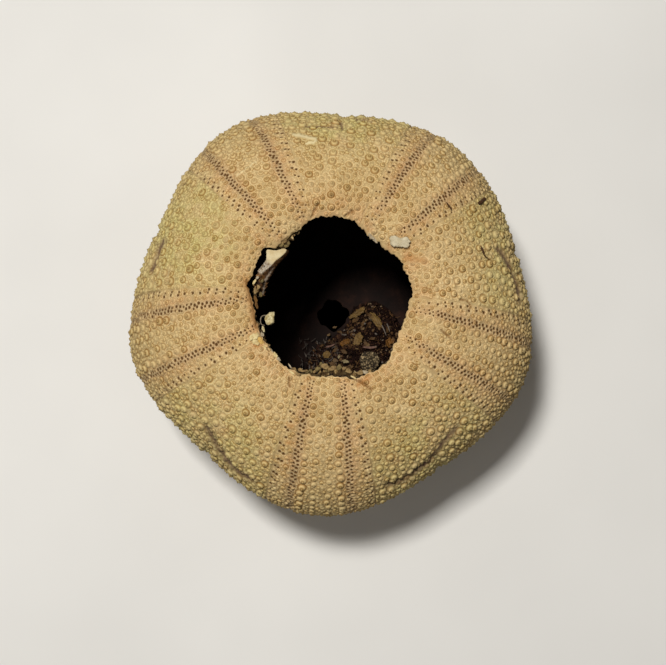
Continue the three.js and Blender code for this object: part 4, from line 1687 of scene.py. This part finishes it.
flakeForms = {
    "golden_flake_1": {
        "corners": [
            (2.1, 0.1), (1.5, 0.8), (0.3, 1.05), (-1.0, 0.75), (-2.1, 0.3), (-2.0, -0.3),
            (-0.6, -0.85), (1.0, -0.8),
        ],
        "turn": 42, "curl": 0.5, "bend": 0.25,
    },
    "golden_flake_2": {
        "corners": [
            (2.2, 0.2), (1.2, 0.8), (-0.4, 1.0), (-1.5, 0.75), (-2.3, 0.1), (-1.7, -0.6),
            (0.2, -0.85), (1.6, -0.6),
        ],
        "turn": -62, "curl": 0.6, "bend": -0.3,
    },
    "golden_flake_3": {
        "corners": [
            (1.5, 0.3), (0.8, 0.95), (-0.5, 0.85), (-1.4, 0.6), (-1.3, -0.5), (-0.3, -0.95),
            (0.9, -0.8),
        ],
        "turn": 68, "curl": 0.35, "bend": 0.1,
    },
    "golden_flake_4": {
        "corners": [
            (1.25, 0.3), (0.4, 0.95), (-0.8, 0.7), (-1.3, -0.1), (-0.5, -0.8), (0.3, -0.35),
            (1.0, -0.7),
        ],
        "turn": 20, "curl": 0.5, "bend": 0.3, "orange": True,
    },
    "golden_flake_5": {
        "corners": [(0.95, 0.1), (0.4, 0.8), (-0.5, 0.7), (-1.0, 0.0), (-0.5, -0.75), (0.5, -0.7)],
        "turn": 0, "curl": 0.4, "bend": 0.1,
    },
    "golden_flake_6": {
        "corners": [
            (1.15, 0.2), (0.3, 0.9), (-0.8, 0.75), (-1.1, -0.2), (-0.2, -0.4), (0.3, -0.9),
            (0.9, -0.7),
        ],
        "turn": 70, "curl": 0.3, "bend": 0.4, "orange": True,
    },
}


flakePlate = {
    "thickness": 0.3,
    "rough": 0.16,
    "grainSize": 1.0,
    "ragged": 0.045,
    "ribs": 0.035,
    "rings": 18,
    "spokes": 80,
}


def restingFrame(node, turn, ground=heapTop):
    # Middle of a CAD node, and its axes in the slope of the ground, swung by the turn
    middle = nodeMiddle(node)
    return middle, turned(slopeFrame(ground, middle[0], middle[1]), turn)


def buildFlakes():
    # Each flake lies in the slope of the heap; its streaks follow the way along its second axis
    for number, (name, form) in enumerate(flakeForms.items()):
        middle, axes = restingFrame(name, form["turn"])
        points, faces = placedPlate({**form, **flakePlate}, middle, axes, 300 + number)
        along = (points - middle) @ axes[1]
        material = orangeFinish if form.get("orange") else goldenFinish
        addPiece(name + "_plate", (points, faces), material, [name], {"along": along})


buildFlakes()


def granuleMaterial():
    # Pale grains by the distance to the nearest cell's middle, with painted shade dark between them
    nodes = Nodes("sandyCrust", 0.85)
    cell = nodes.cells(0.42)
    tones = [(0.0, "C8B48C"), (0.45, "A08A66"), (0.8, "4A3A28"), (1.0, "241A12")]
    colour = nodes.ramp(nodes.spread(cell, 0.1, 0.75), tones)
    colour = nodes.mix(nodes.spread(nodes.noise(0.9, 3, 0.6), 0.42, 0.7, 0.0, 0.5), colour, "5A5038")
    return nodes.finish(colour, nodes.bump(nodes.spread(cell, 0.1, 0.8, 1.0, 0.0), 0.9, 0.2))


discForm = {
    "radius": 2.15,  # mm
    "thickness": 1.0,
    "grains": 330,
    "grainRadii": (0.10, 0.20),
    "plate": {"thickness": 0.8, "rough": 0.12, "grainSize": 0.7, "spokes": 72, "rings": 14},
}


def buildDisc():
    # Round crust: a plate set with rings of small grains, as a worm tube or a bryozoan crust has
    random = np.random.default_rng(71)
    middle = nodeMiddle("granular_disc")
    axes = slopeFrame(heapTop, middle[0], middle[1])
    turns = np.radians(np.arange(0, 360, 24))
    reach = discForm["radius"] * (1 + 0.07 * np.sin(3 * turns + 1) + 0.04 * np.sin(7 * turns))
    corners = np.stack([reach * np.cos(turns), reach * np.sin(turns)], axis=1)
    plate = {**discForm["plate"], "corners": corners}
    shapes = [placedPlate(plate, middle, axes, 72)]
    ball, faces = icosahedron()
    count = discForm["grains"]
    ringNumber = random.integers(1, 8, count)
    outward = (ringNumber + random.normal(0, 0.13, count)) / 8 * discForm["radius"] * 1.05
    angle = random.uniform(0, 2 * math.pi, count)
    radius = random.uniform(*discForm["grainRadii"], count)
    local = np.stack([outward * np.cos(angle), outward * np.sin(angle), 0 * angle], axis=1)
    dome = np.sqrt(np.maximum(0.05, 1 - (outward / discForm["radius"]) ** 4))
    local[:, 2] = 0.4 * discForm["thickness"] * dome
    balls = ball[None] * radius[:, None, None] * (1 + random.uniform(-0.2, 0.2, (count, 12, 1)))
    points = middle + (local[:, None] + balls) @ axes
    allFaces = faces[None] + 12 * np.arange(count)[:, None, None]
    shapes.append((points.reshape(-1, 3), [allFaces.reshape(-1, 3)]))
    addPiece("granular_disc_crust", joined(shapes), granuleMaterial(), ["granular_disc"])


buildDisc()


needleFinish = plainMineral("paleNeedle", "756B60", "584F46", 0.6, 0.6)
sliverFinish = plainMineral("pinkSliver", "7A5D50", "5A4034", 0.6, 0.7)


# Length mm and turn of the needles; length mm, width mm and turn of the slivers
needles = [("pale_needle_1", 2.4, -72), ("pale_needle_2", 1.9, -78)]
slivers = [("pink_sliver_1", 3.2, 0.55, 0), ("pink_sliver_2", 2.3, 0.45, 22)]


def buildNeedles():
    # Tapered tubes and thin oval plates at the middles of their CAD nodes
    for name, length, turn in needles:
        middle, axes = restingFrame(name, turn)
        along = np.linspace(-0.5, 0.5, 14)
        path = middle + length * along[:, None] * axes[0] + 0.12 * np.cos(2 * along)[:, None] * axes[1]
        radii = 0.13 * np.interp(along, [-0.5, -0.4, 0.3, 0.5], [0.7, 1, 0.8, 0.25])
        addPiece(name + "_spine", tubeShape(path, radii, 9), needleFinish, [name])
    for name, length, width, turn in slivers:
        middle, axes = restingFrame(name, turn)
        turns = np.radians(np.arange(0, 360, 30))
        y = 0.5 * width * np.sin(turns) * (1 + 0.2 * np.sin(3 * turns))
        corners = np.stack([0.5 * length * np.cos(turns), y], axis=1)
        form = {"corners": corners, "thickness": 0.3, "rough": 0.05, "grainSize": 0.6, "bend": 0.15}
        addPiece(name + "_chip", placedPlate(form, middle, axes, 400), sliverFinish, [name])


buildNeedles()

# Small bits on the heap: pixel, length mm, width mm, turn, colour
heapBits = [
    ((339.5, 357), 0.8, 0.55, 80, "cream"), ((346, 361.5), 1.5, 0.8, -10, "cream"),
    ((345.5, 331), 0.7, 0.4, 10, "grey"), ((344.5, 336), 1.3, 0.45, -8, "grey"),
    ((365, 324.5), 0.6, 0.35, 30, "grey"), ((356, 331), 0.6, 0.5, 60, "grey"),
    ((363, 329.5), 1.0, 0.6, 20, "tan"), ((366.5, 321), 0.8, 0.6, 50, "tan"),
    ((335.5, 360.5), 1.1, 0.9, 15, "tan"), ((357, 349), 0.9, 0.35, -20, "tan"),
    ((368, 345.5), 1.2, 0.8, 65, "tan"), ((317.5, 342.5), 0.9, 0.25, 110, "grey"),
    ((326, 343.5), 0.5, 0.3, 0, "grey"), ((306, 355.5), 1.0, 0.2, 120, "grey"),
    ((310.5, 367), 1.2, 0.25, 100, "grey"), ((314.5, 356), 0.7, 0.3, 140, "grey"),
    ((376, 334.5), 0.8, 0.35, -30, "grey"), ((382, 362), 0.6, 0.45, 40, "grey"),
    ((335, 327.5), 1.1, 0.45, 5, "tan"), ((360, 373), 1.3, 0.9, -25, "crust"),
    ((368.5, 375), 1.2, 0.8, 35, "crust"), ((352, 341), 0.8, 0.5, 80, "tan"),
    ((389, 352), 0.6, 0.4, 80, "tan"), ((329, 335), 0.9, 0.5, 35, "tan"),
    ((356.5, 321), 2.0, 1.1, 30, "bark"), ((363.5, 324), 1.8, 0.8, 75, "bark"),
    ((370, 316.5), 1.7, 0.9, -50, "bark"), ((378.5, 327), 2.0, 0.8, -75, "bark"),
    ((348, 344.5), 1.6, 0.8, 25, "bark"), ((358.5, 343), 1.9, 0.9, 70, "bark"),
    ((366.5, 345), 2.0, 0.9, -60, "bark"), ((372.5, 339), 1.5, 0.7, 10, "bark"),
    ((344.5, 352), 1.7, 0.9, -30, "bark"), ((336, 350.5), 1.4, 0.8, 40, "bark"),
    ((352.5, 329), 1.7, 0.7, 15, "bark"), ((387, 331), 1.3, 0.6, 80, "bark"),
    ((389, 345.5), 1.5, 0.8, -65, "bark"), ((327, 356), 1.6, 1.0, 20, "bark"),
    ((333, 364), 1.8, 0.9, -20, "bark"), ((350, 367), 1.7, 0.9, 10, "bark"),
    ((322.5, 347), 1.1, 0.5, 60, "bark"), ((340, 333), 1.4, 0.6, -10, "bark"),
]


bitPlate = {
    "rough": 0.12,
    "grainSize": 0.7,
    "ragged": 0.06,
    "curl": 0.2,
    "spokes": 26,
    "rings": 7,
}


def oval(length, width, points, jag):
    # Corners round an oval, each moved out or in by 1 plus jag size times the sine of its number
    turns = np.radians(np.linspace(0, 360, points, endpoint=False))
    size, step, start = jag
    uneven = 1 + size * np.sin(step * np.arange(points) + start)
    return 0.5 * np.stack([length * uneven * np.cos(turns), width * uneven * np.sin(turns)], axis=1)


def buildHeapBits():
    # One mesh for each colour, of small oval plates in the slope of the heap
    finishes = {
        "cream": plainMineral("creamBit", "948563", "6A5A3C", 0.5),
        "grey": plainMineral("greyBit", "6C6258", "463E38", 0.5),
        "tan": plainMineral("tanBit", "6E5636", "4A3824", 0.5),
        "bark": plainMineral("barkBit", "5A4020", "33210F", 0.6, 0.7),
        "crust": granuleMaterial(),
    }
    for colour, finish in finishes.items():
        shapes = []
        for number, (pixel, length, width, turn, bitColour) in enumerate(heapBits):
            if bitColour != colour:
                continue
            origin = heapUnder(pixel)
            axes = turned(slopeFrame(heapTop, origin[0], origin[1]), turn)
            corners = oval(length, width, 10, (0.16, 2.7, number))
            form = {**bitPlate, "corners": corners, "thickness": min(0.3, 0.6 * width)}
            shapes.append(placedPlate(form, origin + 0.35 * axes[2], axes, 500 + number))
        addPiece("heap_bits_" + colour, joined(shapes), finish, ["dirt_heap"])


buildHeapBits()
print("bits on the heap built")

chipFinish = plainMineral("dullWhite", "CCC0A3", "AFA181", 1.1)
darkFinish = plainMineral("plantDirt", "4E2F12", "2E1A08", 0.5)

# The piece that broke out of the rim: pixels of its gap side, its crest and its opening side, from its
# head to its tail
loosePiece = {
    "gapSide": [
        (281.5, 247.6), (277.5, 250.3), (272, 250.2), (267.2, 250), (266.8, 256), (266.3, 260),
        (263, 264.5), (259.5, 269), (257.3, 274), (255.3, 281), (254.2, 288), (256, 294),
    ],
    "crest": [
        (284.5, 247.6), (286.7, 250.7), (283.5, 254.5), (279.5, 258), (275.5, 260.8), (272.2, 264.5),
        (268.5, 268), (263.5, 272), (260.8, 276), (259.5, 283), (258.5, 290), (258.5, 295),
    ],
    "openSide": [
        (287, 248.6), (289, 251.5), (286, 256), (282, 260), (278.5, 264), (275.3, 268),
        (272.5, 273), (269.5, 278), (267, 284), (265.3, 290), (263.9, 296), (262, 298.5),
    ],
    "topHeight": (43.3, 42.4),  # mm at its head and at its tail
    "openDrop": 1.0,
    "depth": (2.2, 1.5),
    "steps": 120,
    "perSide": 9,
}


def buildLoosePiece():
    # Five-cornered profile carried along: top from gap side to crest, brown slope to the opening side and
    # two undersides
    form = loosePiece
    steps, perSide = form["steps"], form["perSide"]
    stations = len(form["crest"])
    heights = np.linspace(*form["topHeight"], stations)

    def line(name, drop):
        path = [pointAtHeight(pixel, height - drop) for pixel, height in zip(form[name], heights)]
        return smoothPath(path, steps)

    depth = np.linspace(*form["depth"], steps)[:, None] * [0, 0, 1]
    gap, crest, side = line("gapSide", 0.0), line("crest", 0.05), line("openSide", form["openDrop"])
    corners = np.stack([gap, crest, side, side - 0.5 * depth, gap - depth, gap], axis=1)
    share = np.arange(5 * perSide) / perSide
    low = share.astype(int)
    points = corners[:, low] + (share - low)[None, :, None] * (corners[:, low + 1] - corners[:, low])
    along = np.linspace(0, 1, steps)[:, None] + 0 * share
    ends = np.sqrt(np.clip(np.minimum(along, 1 - along) * 14, 0.02, 1))[..., None]
    middle = points.mean(axis=1, keepdims=True)
    points = middle + (points - middle) * ends
    rough = np.interp(along, [0, 0.42, 0.55, 1], [0.07, 0.1, 0.5, 0.75]) + 0.1 * (share > 1)
    points = points + (rough * roughWaves(points, 0.9, 0.9, 81))[..., None] * [0.5, 0.3, 1]
    points = points + (0.6 * rough * roughWaves(points, 0.7, 0.5, 83))[..., None] * [1, 0.4, 0.6]
    whole = points.reshape(-1, 3)
    around = 5 * perSide
    numbers = np.arange(len(whole)).reshape(steps, around)
    faces = closedFaces(numbers, len(whole), len(whole) + 1)
    whole = np.concatenate([whole, points[:1].mean(axis=1), points[-1:].mean(axis=1)])
    isOpen = smooth(0.97, 1.15, share) * (share < 3.2) + 0 * along
    paleLine = np.exp(-((share - 1.72) / 0.1) ** 2) * smooth(0.42, 0.55, along)
    fields = {"open": isOpen, "tail": along, "paleLine": paleLine}
    fields = {name: np.concatenate([values.ravel(), [0, 0]]) for name, values in fields.items()}
    nodes = Nodes("breakSides", 0.8)
    pale = nodes.mix(nodes.spread(nodes.noise(1.8, 3, 0.6), 0.35, 0.65), "CFC09A", "BFA97C")
    fibrous = nodes.mix(nodes.spread(nodes.noise(0.6, 4, 0.7, 5.0), 0.4, 0.6), "B8AE9C", "6E5637")
    jumbleTones = [(0.36, "1C1008"), (0.46, "4E3218"), (0.55, "8A6438"), (0.64, "C2AC82")]
    jumble = nodes.ramp(nodes.noise(0.8, 4, 0.7, 6.0), jumbleTones)
    colour = nodes.mix(nodes.spread(nodes.field("tail"), 0.40, 0.5), pale, fibrous)
    colour = nodes.mix(nodes.spread(nodes.field("tail"), 0.66, 0.74), colour, jumble)
    brown = nodes.mix(nodes.spread(nodes.noise(0.7, 3, 0.6, 9.0), 0.35, 0.65), "5A3A16", "2B190B")
    colour = nodes.mix(nodes.field("open"), colour, brown)
    colour = nodes.mix(nodes.field("paleLine"), colour, "8F8272")
    finish = nodes.finish(colour, nodes.bump(nodes.noise(0.4, 3, 0.65, 2.0), 0.5, 0.1))
    addPiece("loose_rim_piece_body", (whole, faces), finish, ["loose_rim_piece"], fields)


buildLoosePiece()

crumbForm = {
    "middle": (269.4, 318.6),  # pixel
    "height": 42.6,
    "corners": [
        (1.0, 0.1), (0.95, 1.2), (0.4, 1.3), (-0.45, 0.8), (-0.95, -0.3), (-0.5, -1.1),
        (0.3, -1.25), (0.85, -0.8),
    ],
    "thickness": 1.5,
    "bitCorners": [(0.3, 0), (0.2, 0.5), (-0.2, 0.75), (-0.35, 0.1), (-0.1, -0.6), (0.3, -0.5)],
}


def buildCrumb():
    # Faceted lump at the edge, with a fine grey thread looped from it to the rim and a small bit below
    middle = pointAtHeight(crumbForm["middle"], crumbForm["height"])
    form = {
        "corners": crumbForm["corners"], "thickness": crumbForm["thickness"], "rough": 0.3, "grainSize": 1.0,
        "ragged": 0.015, "spokes": 56, "rings": 14,
    }
    shapes = [placedPlate(form, middle, np.eye(3), 91)]
    bit = {"corners": crumbForm["bitCorners"], "thickness": 0.6}
    shapes.append(placedPlate(bit, pointAtHeight((263.4, 329.6), 42.4), np.eye(3), 92))
    lumpFinish = plainMineral("crumbCream", "DCCFA4", "94804E", 0.7)
    addPiece("pale_crumb_lump", joined(shapes), lumpFinish, ["pale_crumb"])
    loop = [(265.6, 315.2), (262.6, 316), (261, 318.3), (260.8, 321.8), (261.8, 324.4), (264.6, 325.4)]
    path = smoothPath([pointAtHeight(pixel, 42.4) for pixel in loop], 30)
    radii = 0.1 * np.interp(np.linspace(0, 1, 30), [0, 0.2, 0.8, 1], [0.8, 1, 0.9, 0.7])
    threadFinish = plainMineral("greyThread", "9A8D78", "6B5C48", 0.6)
    addPiece("pale_crumb_thread", tubeShape(path, radii, 8), threadFinish, ["pale_crumb"])


buildCrumb()

chipForm = {
    "corners": [
        (-1.87, -0.66), (-1.84, 0.72), (-1.54, 1.2), (-0.85, 1.14), (-0.26, 0.7), (0.39, 0.59), (0.99, 0.89),
        (1.45, 0.77), (1.87, -0.11), (1.87, -0.77), (1.45, -1.14), (-0.07, -1.11), (-1.36, -0.92),
    ],
    "thickness": 0.75,
    "rough": 0.16,
    "grainSize": 1.3,
    "ragged": 0.03,
    "spokes": 90,
    "rings": 18,
}


def oralHeight(x, y):
    # Height of the plain oral face over a place
    return profileAt(polarOfRadius(np.hypot(x, y), True))[1]


def buildChip():
    # Flat plate in the slope of the oral face, sunk a little between the knobs
    middle, axes = restingFrame("white_chip", -2, oralHeight)
    plate = placedPlate(chipForm, middle - 0.25 * axes[2], axes, 95)
    addPiece("white_chip_plate", plate, chipFinish, ["white_chip"])


buildChip()

# Broken plates on the rim: pixel of the middle, length mm, width mm, turn, mm below the edge's height, lean
# and colour
rimFlakes = [
    ((254.5, 336.5), 2.0, 1.3, 20, -0.1, 10, "cream"), ((260.5, 341), 1.7, 1.2, -50, 0.0, 15, "gold"),
    ((265.5, 347), 1.3, 0.9, -55, 0.1, 20, "cream"), ((256, 342.5), 1.6, 1.0, -20, -0.1, 5, "cream"),
    ((251.5, 338.5), 1.0, 0.7, 60, -0.15, 0, "cream"), ((262.3, 334.5), 1.1, 0.7, -70, 0.3, 25, "grey"),
    ((275.3, 355), 1.2, 0.8, -60, 0.1, 25, "cream"), ((278.5, 359.3), 1.0, 0.7, -45, 0.2, 20, "grey"),
    ((271, 350.5), 1.3, 0.6, -55, 0.3, 30, "grey"), ((290, 366), 1.3, 0.25, -60, 0.1, 15, "grey"),
    ((294, 369), 1.0, 0.6, -25, 0.3, 10, "tan"), ((291.5, 372.5), 1.6, 0.45, -30, -0.1, 5, "cream"),
    ((298, 374.5), 1.3, 0.5, -15, -0.1, 5, "tan"), ((304.5, 371), 1.5, 0.5, 5, 0.2, 15, "tan"),
    ((315, 371.5), 0.9, 0.5, 40, 0.8, 20, "tan"), ((318, 369), 1.3, 0.9, 25, 0.95, 20, "olive"),
    ((325, 366.5), 1.7, 1.2, -25, 0.85, 20, "tan"), ((332.5, 368.5), 1.9, 1.0, 15, 0.85, 15, "tan"),
    ((339.5, 367.5), 1.4, 1.0, 60, 0.9, 18, "olive"), ((328, 371), 1.3, 0.6, 5, 1.0, 10, "olive"),
    ((349, 371), 1.4, 1.0, -40, 0.8, 18, "tan"), ((344.5, 368.5), 1.0, 0.7, 20, 0.9, 20, "tan"),
    ((353.5, 377.5), 1.3, 0.4, -28, -0.1, 4, "cream"), ((360.5, 373), 1.2, 0.9, 15, 0.4, 15, "tan"),
    ((365.5, 372.3), 1.2, 0.8, -20, 0.5, 15, "grey"), ((370, 371.5), 0.9, 0.7, 40, 0.5, 15, "tan"),
    ((371.5, 236.5), 1.7, 0.7, -48, 0.0, 12, "grey"), ((375.5, 241), 1.2, 0.6, -50, 0.1, 12, "grey"),
    ((292.5, 232), 1.7, 0.8, 32, 0.35, 18, "tan"), ((288, 236.5), 1.5, 0.7, 50, 0.45, 20, "tan"),
    ((284.3, 241.3), 1.5, 0.8, 45, 0.4, 18, "tan"), ((281.5, 245.3), 1.2, 0.6, 20, 0.35, 15, "olive"),
    ((288.5, 243.5), 0.9, 0.6, 70, 0.7, 20, "olive"), ((286.5, 246.3), 1.1, 0.6, 10, 0.8, 20, "olive"),
    ((297.5, 228), 1.6, 0.7, 35, 0.3, 15, "tan"), ((254.6, 282), 1.2, 0.5, 65, 0.5, 10, "cream"),
    ((257.5, 278), 1.0, 0.5, 50, 0.4, 10, "grey"), ((258.6, 287.5), 1.1, 0.7, 80, 0.5, 15, "tan"),
    ((255.8, 291), 1.2, 0.8, 100, 0.6, 15, "tan"), ((262.3, 281), 0.8, 0.5, 60, 1.0, 20, "olive"),
    ((261, 294.5), 1.0, 0.6, 95, 0.9, 20, "olive"), ((255.8, 299), 1.6, 0.7, 105, 0.6, 25, "brown"),
    ((256.8, 305.5), 1.5, 0.6, 105, 0.6, 25, "brown"), ((268, 349), 0.9, 0.6, -40, -0.1, 10, "tan"),
    ((300.5, 370), 1.0, 0.7, -10, 0.35, 15, "tan"), ((307, 372), 1.0, 0.6, 15, 0.5, 15, "olive"),
    ((296, 371.8), 1.2, 0.5, -30, 0.3, 15, "olive"), ((311, 371), 0.9, 0.6, -40, 0.7, 15, "olive"),
    ((321, 363.8), 0.9, 0.5, 50, 0.9, 15, "olive"),
]

flakeColours = {
    "cream": ("DCCB98", "BFA56E"),
    "gold": ("D8B66C", "B48A44"),
    "grey": ("B5A78C", "85745A"),
    "tan": ("967C50", "5C4629"),
    "olive": ("7E6C42", "463A20"),
    "brown": ("7A5628", "45301A"),
}


rimPlate = {
    "rough": 0.1,
    "grainSize": 0.8,
    "ragged": 0.05,
    "curl": 0.15,
    "spokes": 36,
    "rings": 9,
}


def rimPoint(pixel, below):
    # Sight line met with the height that the oral face has there, held level inside the mouth
    point = pointAtHeight(pixel, 43.0)
    for _ in range(6):
        turn = math.atan2(point[1], point[0])
        radius = max(math.hypot(point[0], point[1]), float(edgeRadius(np.array(turn))))
        rise = float(profileAt(polarOfRadius(radius, True))[1]) - shellGrid["sunk"]
        point = pointAtHeight(pixel, rise - below)
    return point


def buildRimFlakes():
    # One mesh for each colour, of small oval plates that lean to the opening
    for colour, (pale, dark) in flakeColours.items():
        shapes = []
        for number, (pixel, length, width, turn, below, lean, flakeColour) in enumerate(rimFlakes):
            if flakeColour != colour:
                continue
            origin = rimPoint(pixel, below)
            inward = np.array([-origin[0], -origin[1], 0.0]) * math.sin(math.radians(lean))
            out = inward / math.hypot(origin[0], origin[1])
            out += [0, 0, math.cos(math.radians(lean))]
            along = np.cross([0.0, 1.0, 0.0], out)
            along /= np.linalg.norm(along)
            axes = turned(np.stack([along, np.cross(out, along), out]), turn)
            corners = oval(length, width, 9, (0.14, 2.1, number))
            form = {**rimPlate, "corners": corners, "thickness": min(0.55, 0.7 * width)}
            shapes.append(placedPlate(form, origin, axes, 600 + number))
        finish = plainMineral(colour + "Flake", pale, dark, 0.7)
        addPiece("rim_flakes_" + colour, joined(shapes), finish)


buildRimFlakes()

# Plant dirt caught between the knobs: pixels of the photo and radii in mm
darkLines = {
    "dark_bit": ([(478.2, 204.2), (480, 203), (481.4, 201.4), (483.6, 199.8)], [0.30, 0.36, 0.24, 0.34]),
    "dark_splinter": ([(446, 203), (448.5, 206.6), (451, 210)], [0.10, 0.15, 0.12]),
    "dark_thread": (
        [(480, 247), (482, 251), (483, 255), (486, 258), (489.5, 260.5)], [0.14, 0.22, 0.12, 0.08, 0.05],
    ),
}


shellCore = np.array([0, 0, 20])  # mm from the vent axis


def buildDarkBits():
    # Tubes along their pixels' places on the shell, 0.22 mm out from the core
    for name, (pixels, radii) in darkLines.items():
        corners = []
        for pixel in pixels:
            point = shellUnder(pixel)
            length = np.linalg.norm(point - shellCore)
            corners.append(point + 0.22 * (point / length - shellCore / length))
        path = smoothPath(corners, 24)
        radius = np.interp(np.linspace(0, 1, 24), np.linspace(0, 1, len(radii)), radii)
        addPiece(name + "_strand", tubeShape(path, radius, 10), darkFinish, [name])


buildDarkBits()
print("rim pieces built")


def floorMaterial():
    # A dark spot lies under the shell's foot, where the photo's dark ground shows through the vent
    nodes = Nodes("paleFloor", 0.9, 0.0)
    colour = nodes.ramp(nodes.noise(60, 3, 0.5), [(0.3, "DAD8D4"), (0.7, "E2E0DC")])
    colour = nodes.mix(nodes.field("underFoot"), colour, "000000")
    return nodes.finish(colour, nodes.bump(nodes.noise(1.2, 2, 0.5), 0.1, 0.05))


def buildFloor():
    # Flat disc on a polar grid
    rings = np.array([0.001, 3, 6, 6.5, 40, 120, 400, 1500])[:, None]
    turns = np.linspace(0, 2 * math.pi, 65)[None, :]
    points = np.stack([rings * np.cos(turns), rings * np.sin(turns), 0 * rings * turns], axis=-1)
    numbers = np.arange(points[..., 0].size).reshape(points.shape[:2])
    underFoot = (rings < 6.2) * 1.0 + 0 * turns
    shape = (points.reshape(-1, 3), [gridQuads(numbers)])
    floor = meshFrom("floor", *shape, floorMaterial(), fields={"underFoot": underFoot}, flip=False)


buildFloor()


# Place in mm, size in mm, power and colour
lamps = {
    "keyLight": ((-95, 105, 555), 80, 3.05, (1.0, 0.985, 0.95)),
    "fillLight": ((-300, -300, 400), 400, 0.25, (1, 1, 1)),
}


def addLight(name, place, size, power, colour):
    # Square lamp at a place in mm, turned to the shell
    lamp = bpy.data.lights.new(name, "AREA")
    lamp.size = size * metresPerMm
    lamp.energy = power
    lamp.color = colour
    thing = bpy.data.objects.new(name, lamp)
    thing.location = Vector(place) * metresPerMm
    toShell = Vector((0, 0, 25)) * metresPerMm - thing.location
    thing.rotation_mode = "QUATERNION"
    thing.rotation_quaternion = toShell.to_track_quat("-Z", "Y")
    bpy.context.scene.collection.objects.link(thing)


def lightScene():
    # Two lamps and an even warm sky, shown without a film look
    for name, lamp in lamps.items():
        addLight(name, *lamp)
    world = bpy.data.worlds.new("softSky")
    world.use_nodes = True
    background = world.node_tree.nodes["Background"]
    background.inputs["Color"].default_value = (1.0, 0.97, 0.92, 1.0)
    background.inputs["Strength"].default_value = 0.11
    bpy.context.scene.world = world
    bpy.context.scene.view_settings.view_transform = "Standard"
    bpy.context.scene.view_settings.look = "None"


lightScene()


def placeCamera():
    # The photo's own view: the target point is held at its pixel by turning the camera, without shift
    place, ahead, up = cameraFrame()
    degreesPerPixel = math.degrees(math.atan(1 / cameraPlace["focalPixels"]))
    lower = math.radians((photoSize[1] / 2 - cameraPlace["targetPixel"][1]) * degreesPerPixel)
    lookAhead = ahead * math.cos(lower) - up * math.sin(lower)
    camera = bpy.data.cameras.new("photoCamera")
    camera.sensor_width = cameraPlace["sensorWidth"]
    camera.lens = cameraPlace["focalPixels"] * cameraPlace["sensorWidth"] / photoSize[0]
    camera.clip_start = 0.01
    camera.clip_end = 10
    thing = bpy.data.objects.new("photoCamera", camera)
    thing.location = Vector((place + ventPlace) * metresPerMm)
    thing.rotation_mode = "QUATERNION"
    thing.rotation_quaternion = Vector(lookAhead).to_track_quat("-Z", "Y")
    bpy.context.scene.collection.objects.link(thing)
    bpy.context.scene.camera = thing


placeCamera()
print("camera, light and floor ready")
